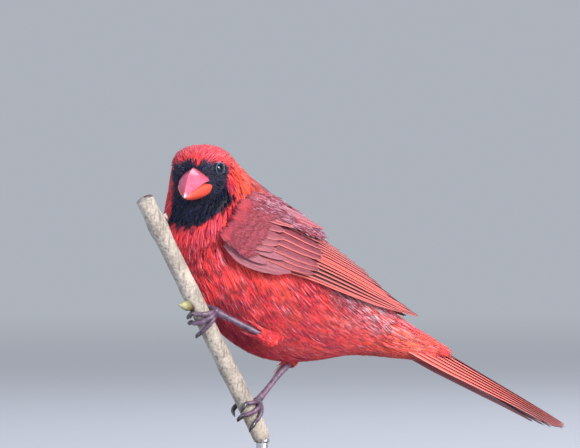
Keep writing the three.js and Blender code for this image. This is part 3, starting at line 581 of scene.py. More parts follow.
def makeSkin():
    # the body and the two thighs, each a closed form sunk by the coat's depth, are joined into one skin
    made = [skinPart(bodyPoint, *skinLook["body"])]
    made += [skinPart(thighPoint(side), *skinLook["thigh"]) for side in legs]
    for other in made[1:]:
        union = made[0].modifiers.new("join", "BOOLEAN")
        union.operation, union.solver, union.object = "UNION", "EXACT", other
    depsgraph = bpy.context.evaluated_depsgraph_get()
    joined = bpy.data.meshes.new_from_object(made[0].evaluated_get(depsgraph))
    for other in made:
        bpy.data.objects.remove(other)
    joined.name = "skin"
    marks = markings(readVectors(joined, "co") * 1000, readVectors(joined, "normal"))
    marks.update({key: np.full(len(joined.vertices), value) for key, value in skinLook["values"].items()})
    setValues(joined, marks)
    finish(addObject("skin", joined), "red_plumage", "head", "neck", "torso", "thigh_left", "thigh_right")


makeSkin()
print("skin made")

# Wings: a sheet between a lower and an upper edge, with vanes laid on it
wingRibs = [  # lower edge, upper edge, bulge
    ([-36, -20, 101], [-24, -15.5, 118], 3), ([-27, -23.4, 91], [-11, -14.5, 113], 4),
    ([-12, -24.9, 86], [3, -13.6, 104.6], 4.4), ([1, -23.9, 83], [15, -12.2, 97], 4),
    ([18, -20.2, 77.5], [27, -9.6, 89.8], 2.8), ([35, -15, 72], [40, -7.6, 81.5], 1.2),
    ([54.5, -8.5, 66.4], [55.5, -6, 69], 0),
]
wingLows, wingHighs, wingBulges = zip(*wingRibs)


def wingSheet(along, up):
    a = np.clip(along, 0, 1)
    low, high = spline(wingLows, a), spline(wingHighs, a)
    runs = (spline(edge, a + 0.005) - spline(edge, a - 0.005) for edge in (wingLows, wingHighs))
    tangent = unit(sum(unit(run) for run in runs))
    out = unit(np.cross(unit(high - low), tangent))
    out = out * np.where(out[..., 1:2] > 0, -1, 1)
    bulge = smooth(wingBulges, a * (len(wingRibs) - 1))
    share = np.clip(up, 0, 1)
    return low + (high - low) * up[..., None] + out * (4 * bulge * share * (1 - share))[..., None], out


def wingFrame(along, up):
    d = 0.01
    here, out = wingSheet(along, up)
    rise = unit(wingSheet(along, up + d)[0] - wingSheet(along, up - d)[0])
    run = unit(wingSheet(np.minimum(along + d, 1), up)[0] - wingSheet(np.maximum(along - d, 0), up)[0])
    normal = unit(np.cross(rise, run))
    return here, rise, normal * np.sign(np.einsum("...i,...i->...", normal, out))[..., None]


# roots and tips are (along, up) on the sheet; webs are the widths below and above the shaft
wingRowKeys = ("count", "root", "tip", "webs", "lift", "tilt", "sink", "tone", "dark")
featherRows = {
    "primaries": (8, [[0.2, 0.1], [0.2, 0.3], [0.2, 0.5]],
                  [[0.9, 0.06], [0.97, 0.2], [1.0, 0.42], [0.93, 0.52]],
                  [1.5, 2.6], 0, 0.34, 0.3, 0.0, 1.0),
    "secondaries": (9, [[0.2, 0.5], [0.2, 0.7], [0.2, 0.92]],
                    [[0.9, 0.56], [0.8, 0.7], [0.7, 0.84], [0.56, 0.97]],
                    [1.6, 3.2], 0.55, 0.3, 0.3, 0.12, 0.85),
    "primaryCoverts": (4, [[0.06, 0.04], [0.1, 0.2]], [[0.36, 0.03], [0.43, 0.16]],
                       [2.1, 3.0], 2.1, 0.2, 1.2, 0.75, 0.1),
    "greaterCoverts": (9, [[0.13, 0.22], [0.13, 0.92]], [[0.5, 0.14], [0.48, 0.5], [0.42, 0.9]],
                       [2.0, 3.0], 2.6, 0.2, 1.2, 0.35, 0.3),
    "alula": (2, [[0.07, 0.14], [0.09, 0.24]], [[0.27, 0.1], [0.33, 0.22]],
              [1.7, 2.3], 3.2, 0.2, 1.4, 0.85, 0.1),
    "medianCoverts": (7, [[0.08, 0.28], [0.08, 0.9]], [[0.27, 0.3], [0.27, 0.88]],
                      [2.5, 2.9], 3.9, 0.16, 1.8, 0.5, 0.1),
    "scapulars": (5, [[0.06, 0.66], [0.16, 0.94]], [[0.3, 0.72], [0.43, 0.98]],
                  [2.9, 3.0], 4.4, 0.14, 2.4, 0.5, 0.0),
}
wingRows = [dict(zip(wingRowKeys, row)) for row in featherRows.values()]
vaneLook = {"stations": 22, "strips": 9, "camber": 0.22, "layer": 0.3, "shaft": 0.16, "shaftSides": 5,
            "outline": [[0, 0.6], [0.35, 0.95], [0.7, 1], [0.91, 0.68], [1, 0.2]], "thin": 0.14,
            "stray": 0.012, "fray": 0.012, "frayFrom": 0.9, "slim": 0.5, "slimFrom": 0.6, "tipCut": 0.5}


def outlineAt(share):
    return np.interp(share, *zip(*vaneLook["outline"])) ** 0.9


class Pile:
    # gathers the parts of one piece
    def __init__(self):
        self.points, self.quads, self.tris, self.values, self.patches, self.count = [], [], [], [], [], 0

    def add(self, points, quads, tris, values=None, patches=None):
        self.points.append(points)
        self.quads.append(quads + self.count)
        self.tris.append(tris + self.count)
        self.values.append(values or {})
        self.patches.append(patches)
        self.count += len(points)

    def make(self, name, material, mirror=False):
        points, faces = np.vstack(self.points), [np.vstack(self.quads), np.vstack(self.tris)]
        if mirror:
            points, faces = points * [1, -1, 1], [f[:, ::-1] for f in faces]
        values = {key: np.concatenate([v[key] for v in self.values]) for key in self.values[0]}
        patches = np.vstack(self.patches) if self.patches[0] is not None else None
        return makeObject(name, points, faces, material, values, patches)


def islandOf(index, total, values):
    # each vane has its own strip of the bake map
    columns = math.ceil(math.sqrt(total * 2))
    rows = math.ceil(total / columns)
    u = (index % columns + 0.1 + 0.8 * (values["across"] * 0.5 + 0.5)) / columns
    v = (index // columns + 0.05 + 0.9 * values["along"]) / rows
    return np.stack([u, v], 1)


def addVane(pile, top, out, thin, index, total, turn=1, **same):
    # a closed thin blade from its upper face (stations, strips, 3)
    along, across = crossed(np.linspace(0, 1, top.shape[0]), turn * np.linspace(-1, 1, top.shape[1]))
    # under is 1 on a vane's lower face, where the finish paints shade
    both = {"along": (along, along, [0, 1]), "across": (across, across, [0, 0]),
            "under": (0 * along, 0 * along + 1, [0.5, 0.5])}
    values = {key: np.concatenate([np.concatenate([upper, lower[:, ::-1]], axis=1).ravel(), ends])
              for key, (upper, lower, ends) in both.items()}
    values.update({key: np.full(len(values["along"]), value) for key, value in same.items()})
    rings = np.concatenate([top, (top - out * thin)[:, ::-1]], axis=1)
    pile.add(*tubeMesh(rings), values, islandOf(index, total, values))


def wingFeather(row, s):
    # along and up of a feather's root, then of its tip
    columns = [column for end in ("root", "tip") for column in zip(*row[end])]
    return [smooth(column, np.asarray(s * (len(column) - 1))) for column in columns]


def rowRises(row, along):
    # how far each vane is raised over the one below it, so that crowded vanes stay apart
    starts, startUps, ends, endUps = wingFeather(row, np.linspace(0, 1, row["count"]))
    ups = mix(startUps, endUps, np.clip((along[:, None] - starts) / (ends - starts), 0, 1))
    apart = np.diff(ups, axis=1) * sizeOf(spline(wingLows, along) - spline(wingHighs, along))[:, None]
    rises = np.cumsum(np.maximum(0, vaneLook["layer"] - row["tilt"] * apart), axis=1)
    rises = np.concatenate([np.zeros((len(along), 1)), rises], axis=1)
    return rises - rises[:, -1:] / 2


def wingVane(row, index, dice):
    start, startUp, end, endUp = wingFeather(row, index / max(row["count"] - 1, 1))
    share, across = np.linspace(0, 1, vaneLook["stations"]), np.linspace(-1, 1, vaneLook["strips"])[None]
    end = end + dice.uniform(-1, 1) * vaneLook["stray"]
    endUp = endUp + dice.uniform(-1, 1) * vaneLook["stray"]
    along, up = np.minimum(mix(start, end, share), 1), mix(startUp, endUp, share)
    point, rise, out = wingFrame(along, up)
    slim = 1 - vaneLook["slim"] * np.maximum(0, along - vaneLook["slimFrom"])
    narrow = (outlineAt(share) * slim)[:, None]
    height = row["lift"] + rowRises(row, along)[:, index] - row["sink"] * (1 - share) ** 3
    low, high = row["webs"]
    web = across * np.where(across < 0, low, high) * narrow
    fray = vaneLook["fray"] * dice.normal(size=(len(share), 1)) * (np.abs(across) > vaneLook["frayFrom"])
    web = web * (1 + fray)
    web = web * (1 - vaneLook["tipCut"] * share[:, None] ** 3 * (across > 0))
    drop = row["tilt"] * (web + low * narrow) - vaneLook["camber"] * (1 - across**2)
    out = np.repeat(out[:, None], vaneLook["strips"], 1)
    return point[:, None] + rise[:, None] * web[..., None] + out * (height[:, None] - drop)[..., None], out


flightLook = {
    "web": (0.25, 0.040, 0.062, 1), "edge": (0.90, 0.21, 0.17, 1), "dusk": (0.02, 0.008, 0.014, 1),
    # under is the dark colour of the painted shade on the vanes' lower faces, also used for darker grain
    "grey": (0.30, 0.105, 0.145, 1), "pale": (0.66, 0.28, 0.28, 1), "under": (0.20, 0.03, 0.045, 1),
    "flight": (0.74, 0.12, 0.11, 1), "rose": (0.46, 0.10, 0.13, 1),
}


def vaneMaterial(look):
    n = newMaterial("flightPlumage", Sheen_Weight=0.12, Sheen_Roughness=0.4, Sheen_Tint=(0.85, 0.85, 1.0, 1),
                    Specular_IOR_Level=0.3)
    along, across, rand, tone = (n.read(label) for label in ("along", "across", "rand", "tone"))
    lines = n.use(barbLines, Along=along, Across=across, Lines=70.0, Slant=0.28, Wander=0.08, Seed=rand)
    spots = n.mottled(120.0, 700.0, 0.5)
    web = n.blend(n.ramp(n.plus(tone, n.times(spots, 0.3)), 0.3, 1.1), look["web"], look["grey"])
    web = n.blend(n.ramp(tone, 0.3, 0.0), web, look["flight"])
    grain = n.cloud(n.joined(n.times(along, 2.2), across, rand), 6.0, 3.0)
    web = n.blend(n.ramp(grain, 0.5, 0.68, 0.0, 0.8), web, look["rose"])
    # darker grain at random in the web
    web = n.blend(n.ramp(grain, 0.46, 0.3, 0.0, 0.55), web, look["under"])
    web = n.blend(n.times(n.ramp(across, -0.62, -0.48), n.read("dark")), web, look["dusk"])
    coral = n.blend(n.ramp(tone, 0.2, 0.9, 0.0, 0.75), look["edge"], look["pale"])
    coral = n.blend(n.ramp(along, 0.6, 1.0, 0.0, 0.5), coral, look["pale"])
    rim = n.times(n.ramp(across, -0.74, -0.95), n.ramp(tone, 0.3, 0.6, 1.0, 0.4))
    colour = n.blend(n.ramp(lines, 0.2, 1.0, 0.0, 0.16), n.blend(rim, web, coral), look["dusk"])
    tip = n.times(n.ramp(along, 0.965, 1.0, 0.0, 0.5), n.ramp(tone, 0.0, 0.5, 0.4, 1.0))
    colour = n.blend(tip, colour, look["pale"])
    # painted shade: the lower face of every vane darkened
    colour = n.blend(n.times(n.read("under"), 0.85), colour, look["under"])
    return n.close(colour, n.ramp(spots, 0.3, 0.7, 0.42, 0.62), (lines, 0.25, 0.00006))


flightPlumage = vaneMaterial(flightLook)
shaftValues = {"across": 0.3, "along": 0.5, "under": 0.0}


def makeWing(side, seed):
    dice, pile = np.random.default_rng(seed), Pile()
    vanes = [(row, k) for row in wingRows for k in range(row["count"])]
    for index, (row, k) in enumerate(vanes):
        top, out = wingVane(row, k, dice)
        same = {"rand": dice.random(), "tone": row["tone"], "dark": row["dark"]}
        addVane(pile, top, out, vaneLook["thin"], index, len(vanes), **same)
        shaft = top[:, vaneLook["strips"] // 2] + out[:, 0] * 0.03
        taper = vaneLook["shaft"] * np.linspace(1, 0.3, len(shaft))
        tube = tubeMesh(pathRings(shaft, taper, vaneLook["shaftSides"], start=out[0, 0]))
        values = {key: np.full(len(tube[0]), value) for key, value in {**shaftValues, **same}.items()}
        pile.add(*tube, values, islandOf(index, len(vanes), values))
    finish(pile.make(f"wing.{side}", flightPlumage, mirror=side == "right"), "flight_plumage", f"wing_{side}")


makeWing("left", 11)
makeWing("right", 12)
print("wings made")

# Tail: twelve long vanes in a stack
tail = {"root": [46, 0, 65.6], "slope": 30, "length": 86, "rootDroop": 0.1, "fan": 0.45, "layer": 0.8,
        "shorter": [0, 0.3, 1, 3, 6, 11], "firstSide": 1.3, "step": 1.25, "half": 3.9, "start": 4,
        "fray": 0.8, "nearMiddle": 0.35, "thin": 0.2, "camber": 0.2, "stations": 40, "strips": 9,
        "tone": 0.1, "dark": 0.8}
tailTurn = math.radians(tail["slope"])
tailAlong = np.array([math.cos(tailTurn), 0, -math.sin(tailTurn)])
tailUp = np.array([math.sin(tailTurn), 0, math.cos(tailTurn)])


def rectrix(k, sign, dice):
    layer = (0 if sign > 0 else -tail["layer"]) if k == 0 else -tail["layer"] * (k + 1)
    share = np.linspace(0, 1, tail["stations"])[:, None]
    across = np.linspace(-1, 1, tail["strips"])[None]
    along = mix(tail["start"], tail["length"] - tail["shorter"][k], share)
    wide = outlineAt(share)
    fan = 1 - tail["fan"] * (1 - along / tail["length"])
    middle = (tail["firstSide"] + tail["step"] * k) * fan
    inner = middle - tail["half"] * wide
    if k:
        inner = np.maximum(tail["nearMiddle"], inner)
    outer = middle + tail["half"] * wide * (0.7 + 0.3 * fan)
    side = mix(inner, outer, (across + 1) / 2)
    droop = tail["rootDroop"] * (1 - along / tail["length"]) ** 2
    height = layer - droop * side**2 + tail["camber"] * (1 - across**2)
    along = along + dice.normal(size=(1, tail["strips"])) * tail["fray"] * step(0.9, 1, share)
    top = np.array(tail["root"]) + tailAlong * along[..., None] + tailUp * height[..., None]
    top[..., 1] += sign * side
    return top, np.broadcast_to(tailUp, top.shape)


def makeTail():
    dice, pile = np.random.default_rng(21), Pile()
    vanes = [rectrix(k, sign, dice) for k in reversed(range(6)) for sign in (-1, 1)]
    for index, (top, out) in enumerate(vanes):
        same = {"rand": dice.random(), "tone": tail["tone"], "dark": tail["dark"]}
        addVane(pile, top, out, tail["thin"], index, len(vanes), turn=-1, **same)
    finish(pile.make("tail.feathers", flightPlumage), "flight_plumage", "tail")


makeTail()
print("tail made")

# Coat: feathers of many fine barbs, rooted on the skin, but not under a folded wing or at an eye
eye = {"ahead": 12.2, "side": 8.0, "z": 128.2, "r": 2.75, "turn": 26, "far": -1.7, "bare": 0.35,
       "bulge": (0.03, 0.45), "lidRing": 2.3, "lid": 0.34, "lidBack": 0.9, "beads": 24, "bead": 0.18,
       "globe": (40, 56, 0.02), "lidGrid": (72, 10)}
wingCover = {"along": (0.13, 0.7, 60), "up": (0.12, 0.76, 24), "gap": 3.6, "block": 2000}


def eyePlace(sign):
    return fromHead(eye["ahead"], sign * (eye["side"] + (eye["far"] if sign < 0 else 0)), eye["z"])


def coverOf(points):
    # true for roots that lie hidden under a folded wing
    places = crossed(np.linspace(*wingCover["along"]), np.linspace(*wingCover["up"]))
    sheet = wingSheet(*places)[0].reshape(-1, 3)
    sheet = np.vstack([sheet, sheet * [1, -1, 1]])
    blocks = [points[start:start + wingCover["block"]] for start in range(0, len(points), wingCover["block"])]
    return np.concatenate([sizeOf(block[:, None] - sheet).min(1) < wingCover["gap"] for block in blocks])


def scatter(surface, span, spacing, tries, seed):
    # roots at random over a surface, no two nearer than the spacing at their place
    dice = np.random.default_rng(seed)
    place, angle = dice.uniform(*span, tries), dice.uniform(0, 2 * np.pi, tries)
    here, out, onward, around = frameAt(surface, place, angle)
    area = sizeOf(np.cross(onward, around))
    keep = dice.random(tries) < area / area.max()
    place, angle, here, out = place[keep], angle[keep], here[keep], out[keep]
    apart = spacing(place)
    nextTo = [(dx, dy, dz) for dx in (-1, 0, 1) for dy in (-1, 0, 1) for dz in (-1, 0, 1)]
    grid, chosen = {}, []
    cells = np.floor(here / apart.max()).astype(int).tolist()
    for i, ((x, y, z), point, gap) in enumerate(zip(cells, here.tolist(), apart.tolist())):
        if all(math.dist(point, other) >= gap for dx, dy, dz in nextTo
               for other in grid.get((x + dx, y + dy, z + dz), ())):
            grid.setdefault((x, y, z), []).append(point)
            chosen.append(i)
    return place[chosen], angle[chosen], here[chosen], out[chosen]


featherKeys = ("length", "width", "barbs", "barb", "lift", "loose", "dome")


def feather(*sizes, **more):
    return {"sweep": 0, "depth": coatDepth, "even": 0, **dict(zip(featherKeys, sizes)), **more}


coatLooks = {
    "mask": feather(3.2, 2.0, 9, 0.28, 0.2, 0.12, 0.1), "crown": feather(6.0, 2.4, 9, 0.3, 0.7, 0.07, 0.1),
    "cheek": feather(5.4, 2.4, 9, 0.3, 0.3, 0.08, 0.15), "neck": feather(9.5, 3.8, 15, 0.36, 0.5, 0.08, 0.3),
    "breast": feather(12, 4.4, 20, 0.38, 0.8, 0.08, 0.4, sweep=0.15),
    "flank": feather(12.5, 4.6, 20, 0.4, 0.9, 0.09, 0.4, sweep=0.38),
    "back": feather(10, 4.8, 18, 0.4, 0.5, 0.06, 0.4), "belly": feather(12, 4.6, 18, 0.4, 0.8, 0.1, 0.4),
    "vent": feather(14, 4.8, 20, 0.4, 0.7, 0.08, 0.4),
}
# a barb is a spike of three rings of three points and a tip
barbShape = {"shares": np.array([0.0, 0.4, 0.75, 1.0]), "widths": np.array([0.7, 1.0, 0.8]), "thick": 0.42,
             "round": 0.3, "patch": 0.0007, "sunk": 0.2, "lengths": (0.85, 1.15), "reaches": (0.84, 1.1),
             "lifts": (0.5, 1.3), "breadths": (0.7, 1.3), "uneven": 0.5}
barbQuads = gridFaces(3, 3)
barbTris = np.array([[6 + k, 6 + (k + 1) % 3, 9] for k in range(3)] + [[0, 2, 1]])
barbPatch = np.stack([[-1, 0, 1] * 3 + [0], [0, 0, 0, 1, 1, 1, 1.5, 1.5, 1.5, 2]], 1) * barbShape["patch"]


def growFeathers(pile, surface, place, angle, look, dice, marks, outward=None):
    # every feather is a fan of barbs that bend over the surface
    count, barbs = len(place), look["barbs"]
    here, out, onward, around = frameAt(surface, place, angle, outward)
    lengths = look["length"] * dice.uniform(*barbShape["lengths"], (count, 1))
    lean = dice.normal(size=(count, 1)) * look["loose"] - look["sweep"] * np.cos(angle)[:, None]
    u = np.linspace(-1, 1, barbs)[None] + dice.normal(size=(count, barbs)) * barbShape["uneven"] / barbs
    reach = lengths * (1 - barbShape["round"] * u**2)
    reach = (reach * dice.uniform(*barbShape["reaches"], (count, barbs)))[..., None]
    tilt = dice.normal(size=(count, barbs)) * look["loose"] * barbShape["uneven"]
    lift = look["lift"] * dice.uniform(*barbShape["lifts"], (count, barbs))
    t = barbShape["shares"]
    x = look["width"] / 2 * u[..., None] * t**0.8 + (tilt + lean)[..., None] * reach * t
    low = -look["depth"] - barbShape["sunk"]
    h = mix(low, lift[..., None], t**0.6) - look["dome"] * (u**2)[..., None] * t
    p = place[:, None, None] - reach * t / sizeOf(onward)[:, None, None]
    a = angle[:, None, None] + x / sizeOf(around)[:, None, None]
    centre = surface(p, a, h).reshape(-1, 4, 3)
    tangent = unit(np.gradient(centre, axis=1))
    side = unit(np.cross(tangent, np.repeat(out, barbs, 0)[:, None]))
    ridge = np.cross(side, tangent)
    breadths = dice.uniform(*barbShape["breadths"], (count * barbs, 1))
    w = (look["barb"] * barbShape["widths"] * breadths)[..., None]
    c, across = centre[:, :3], side[:, :3] * w / 2
    middle = c + ridge[:, :3] * w * barbShape["thick"]
    threes = np.stack([c - across, middle, c + across], 2).reshape(-1, 9, 3)
    points = np.concatenate([threes, centre[:, 3:]], 1)
    offset = (np.arange(len(points)) * 10)[:, None, None]
    rand = mix(dice.random(len(points)), 0.5, look["even"])
    values = {"rand": np.repeat(rand, 10), "plume": np.repeat(dice.random(count), barbs * 10),
              "along": np.tile(np.concatenate([np.repeat(t[:3], 3), [1.0]]), len(points))}
    values.update({key: np.repeat(value, barbs * 10) for key, value in marks.items()})
    rootPatch = np.repeat(np.stack([(angle / (2 * np.pi)) % 1, place / 16], 1), barbs, 0)
    pile.add(points.reshape(-1, 3), (barbQuads + offset).reshape(-1, 4), (barbTris + offset).reshape(-1, 3),
             values, (rootPatch[:, None] + barbPatch).reshape(-1, 2))


def coatPiece(name, surface, place, angle, look, seed, marks):
    pile = Pile()
    growFeathers(pile, surface, place, angle, look, np.random.default_rng(seed), marks)
    coat = finish(pile.make(name, plumage), "red_plumage")
    print(name, len(place), "feathers", len(coat.data.polygons), "faces")


def regionOf(place, angle, black):
    # the name of the coat piece that a root belongs to
    up, across = np.sin(angle), np.cos(angle)
    region = np.full(len(place), "belly", dtype=object)
    region[place > 3.2] = "breast"
    region[(place < 6) & (up > 0.5)] = "back"
    region[(place < 6) & (np.abs(across) > 0.62) & (up <= 0.5)] = "flank"
    region[place < 0.9] = "vent"
    region[place >= 6] = "neck"
    region[place >= 8.6] = "cheek"
    region[(place >= 9.3) & (up > 0.3)] = "crown"
    region[black > 0.5] = "mask"
    return region


coatRoots = {"span": (0.05, 15.1), "apart": (1.95, 0.98), "closer": (7.5, 10.5), "tries": 60000, "seed": 5}


def coatSpacing(place):
    # feathers stand closer together towards the face
    return mix(*coatRoots["apart"], step(*coatRoots["closer"], place))


def makeCoat():
    roots = scatter(coatPoint, coatRoots["span"], coatSpacing, coatRoots["tries"], coatRoots["seed"])
    hidden = coverOf(roots[2])
    for sign in (1, -1):
        hidden |= sizeOf(roots[2] - eyePlace(sign)) < eye["r"] + eye["bare"]
    place, angle, here, out = (part[~hidden] for part in roots)
    marks = markings(here, out)
    region = regionOf(place, angle, marks["black"])
    left = np.cos(angle) > 0
    for name, look in coatLooks.items():
        for label, half in ((".left", left), (".right", ~left)) if name == "flank" else (("", True),):
            mine = np.flatnonzero((region == name) & half)
            coatPiece(f"coat.{name}{label}", coatPoint, place[mine], angle[mine], look, len(name) * 7 + 3,
                      {key: value[mine] for key, value in marks.items()})


def makePatch(name, surface, span, spacing, tries, seeds, look):
    roots = scatter(surface, span, lambda place: np.full(len(place), spacing), tries, seeds[0])
    place, angle, here, out = roots
    coatPiece(name, surface, place, angle, look, seeds[1], markings(here, out))


makeCoat()
makePatch("coat.tailCoverts", coatPoint, (-0.75, 0.15), 1.9, 4000, (8, 33),
          feather(12, 4.6, 20, 0.42, 0.5, 0.05, 0.3, depth=0.6))

# Shoulders: soft feathers that lie over the front and the top of each folded wing
shoulderRows = {
    "lesser": {"along": (0.0, 0.13), "up": (0.06, 0.86), "spacing": 1.3,
               "look": feather(6.6, 3.9, 15, 0.5, 0.22, 0.015, 0.3, depth=1.2, even=0.85)},
    "scapular": {"along": (0.02, 0.36), "up": (0.76, 1.14), "spacing": 1.6,
                 "look": feather(9.0, 4.6, 18, 0.42, 0.4, 0.05, 0.4, depth=1.4)},
}
# how high they stand over the wing, at shares along it
shoulderHeights = [(-0.05, 0.3), (0.02, 2.6), (0.08, 4.2), (0.2, 4.7), (0.35, 4.6), (0.6, 3.0)]
shoulderLook = {"tries": 2500, "top": (0.9, 1.15, 0.75), "dropFrom": 0.97, "drop": 14, "dull": 0.92,
                "pale": 0.12}


def shoulderPoint(place, angle, grow=0.0):
    # place falls from 10 at the wrist to 0 at the wing tip, and angle is the share up the wing
    place, angle, grow = np.broadcast_arrays(place, angle, grow)
    along = 1 - place / 10
    point, out = wingSheet(along, angle)
    first, zero = (wingSheet(np.full_like(along, start), angle)[0] for start in (0.01, 0.0))
    point = point + (first - zero) * np.minimum(along, 0)[..., None] * 100
    low, high, share = shoulderLook["top"]
    height = np.interp(along, *zip(*shoulderHeights)) * (1 - share * step(low, high, angle))
    drop = shoulderLook["drop"] * np.maximum(angle - shoulderLook["dropFrom"], 0) ** 1.5
    return point + out * (height + grow - drop)[..., None]


def shoulderOut(place, angle):
    return wingSheet(1 - place / 10, angle)[1]


def makeShoulder(side, seed):
    dice, pile = np.random.default_rng(seed), Pile()
    for part in shoulderRows.values():
        place = dice.uniform(10 * (1 - part["along"][1]), 10 * (1 - part["along"][0]), shoulderLook["tries"])
        angle = dice.uniform(*part["up"], shoulderLook["tries"])
        here = shoulderPoint(place, angle)
        kept = []
        for k, point in enumerate(here):
            if not kept or (sizeOf(here[kept] - point) > part["spacing"]).all():
                kept.append(k)
        place, angle, here = place[kept], angle[kept], here[kept]
        marks = markings(here, shoulderOut(place, angle))
        dull = np.maximum(marks["dull"], step(-0.04, 0.02, 1 - place / 10)) * shoulderLook["dull"]
        marks.update(dull=dull, pale=0 * place + shoulderLook["pale"], shade=0 * place, warm=0 * place)
        growFeathers(pile, shoulderPoint, place, angle, part["look"], dice, marks, shoulderOut)
    finish(pile.make(f"shoulder.{side}", plumage, mirror=side == "right"), "flight_plumage")


makeShoulder("left", 41)
makeShoulder("right", 42)
for thighSide in legs:
    makePatch(f"coat.thigh.{thighSide}", thighPoint(thighSide), legs[thighSide]["tuft"], 1.1, 8000, (7, 31),
              feather(6.4, 2.8, 12, 0.36, 0.4, 0.16, 0.2))
print("coat made")

# Bill: the upper half is an arch, widest at its cutting edge, and the lower one is a deep trough
billHalves = {
    "upper": {"arch": 0.62, "spread": 1, "ribs": [
        (17.6, 128.7, 12.4, 122.4, 6.4), (20.8, 128.0, 17.4, 122.6, 6.0), (25.0, 125.8, 22.8, 121.3, 4.8),
        (28.5, 122.3, 27.0, 119.2, 3.1), (30.8, 119.0, 30.0, 117.5, 1.4), (31.6, 116.9, 31.3, 116.4, 0.4)]},
    "lower": {"arch": 0.3, "spread": -1, "ribs": [
        (12.6, 122.2, 13.2, 116.0, 7.2), (18.5, 122.1, 18.9, 115.5, 6.2), (23.4, 120.9, 23.3, 115.6, 4.5),
        (27.0, 118.9, 26.8, 115.8, 2.4), (29.2, 117.7, 29.0, 116.8, 0.7)]},
}
billLook = {"rows": 60, "sides": 72, "root": -0.3, "wide": 1.14, "edge": (0.4, 0.35), "flank": 0.75,
            "dark": (0.46, 0.048, 0.10, 1), "light": (0.57, 0.12, 0.22, 1), "lower": (0.80, 0.09, 0.055, 1),
            "tip": (0.7, 0.45, 0.5, 1)}


def billMaterial(look):
    n = newMaterial("billHorn", Coat_Weight=0.15, Coat_Roughness=0.3, Subsurface_Weight=0.12,
                    Subsurface_Radius=(0.002, 0.0006, 0.0004))
    spots = n.mottled(160.0, 900.0, 0.4)
    colour = n.blend(n.ramp(spots, 0.35, 0.7), look["dark"], look["light"])
    colour = n.blend(n.read("lower"), colour, look["lower"])
    colour = n.blend(n.ramp(n.read("along"), 0.8, 1.0, 0.0, 0.5), colour, look["tip"])
    return n.close(colour, n.ramp(spots, 0.3, 0.7, 0.3, 0.48), (spots, 0.15, 0.0002))


def makeBill(half, material):
    ribs, spread = billHalves[half]["ribs"], billHalves[half]["spread"]
    rows = np.linspace(billLook["root"], len(ribs) - 1, billLook["rows"])
    place, turn = crossed(rows, turnsOf(billLook["sides"]))
    ahead0, z0, ahead1, z1, width = (smooth(column, place) for column in zip(*ribs))
    sine, cosine = np.sin(turn), np.cos(turn)
    edge = sine * spread < 0  # the side of the ring that meets the other half of the bill
    lift = np.where(edge, np.sign(sine) * np.abs(sine) ** billLook["edge"][0], sine)
    flank = np.sign(cosine) * np.abs(cosine) ** np.where(edge, billLook["edge"][1], billLook["flank"])
    arch = np.clip((1 - lift * spread) / 2, 0, 1) ** billHalves[half]["arch"]
    side = width * billLook["wide"] * arch * flank
    rings = fromHead(mix(ahead1, ahead0, (lift + 1) / 2), side, mix(z1, z0, (lift + 1) / 2))
    along = np.concatenate([np.repeat(np.linspace(0, 1, billLook["rows"]), billLook["sides"]), [0, 1]])
    values = {"along": along, "lower": np.full(len(along), float(spread < 0))}
    makeTube(f"bill.{half}", rings, material, "bill_horn", f"bill_{half}", values=values)


billHorn = billMaterial(billLook)
makeBill("upper", billHorn)
makeBill("lower", billHorn)
print("bill made")

# Eyes: a dark globe, and a ring of beaded lids
eyeLook = {"pupil": (0.001, 0.001, 0.002, 1), "iris": (0.007, 0.006, 0.010, 1),
           "rim": (0.004, 0.004, 0.006, 1)}
lidLook = {"sizes": (500.0, 2500.0, 0.5), "spread": (0.35, 0.65), "dark": (0.010, 0.025, 0.05, 1),
           "light": (0.03, 0.12, 0.24, 1), "rough": (0.35, 0.55), "fixed": {"Specular_IOR_Level": 0.5}}


def eyeMaterial(look):
    n = newMaterial("eyeGlobe", Specular_IOR_Level=0.35)
    ring = n.read("ring")
    colour = n.blend(n.ramp(ring, 0.5, 0.58), look["pupil"], look["iris"])
    return n.close(n.blend(n.ramp(ring, 0.85, 0.98), colour, look["rim"]), 0.05)


eyeGlobe, eyeLids = eyeMaterial(eyeLook), speckled("eyeLids", lidLook)


def makeEye(side, sign):
    centre, turn = eyePlace(sign), math.radians(eye["turn"])
    way = fromHead(math.sin(turn), sign * math.cos(turn), 0) - fromHead(0, 0, 0)
    first = unit(np.cross(way, [0, 0, 1.0]))
    second = np.cross(way, first)
    globe, polar = ballRings(way, first, second, *eye["globe"])
    rise, width = eye["bulge"]
    rings = centre + globe * (eye["r"] * (1 + rise * hump(polar, 0, width)))[..., None]
    ring = np.concatenate([np.where(polar < np.pi / 2, np.sin(polar), 1).ravel(), [0, 1]])
    makeTube(f"eye.{side}", rings, eyeGlobe, "eye", f"eye_{side}", values={"ring": ring})
    rows, sides = eye["lidGrid"]
    turn, tube = crossed(turnsOf(rows), turnsOf(sides))
    bead = eye["lid"] * (1 + eye["bead"] * np.cos(turn * eye["beads"]))
    spoke = np.cos(turn)[..., None] * first + np.sin(turn)[..., None] * second
    rings = (centre + way * (eye["r"] - eye["lidBack"] + bead * np.sin(tube))[..., None]
             + spoke * (eye["lidRing"] + bead * np.cos(tube))[..., None])
    faces = gridFaces(rows + 1, sides) % (rows * sides)
    lids = makeObject(f"lids.{side}", rings.reshape(-1, 3), faces, eyeLids)
    lids.data.flip_normals()
    finish(lids, "leg_skin")


makeEye("left", 1)
makeEye("right", -1)
print("eyes made")

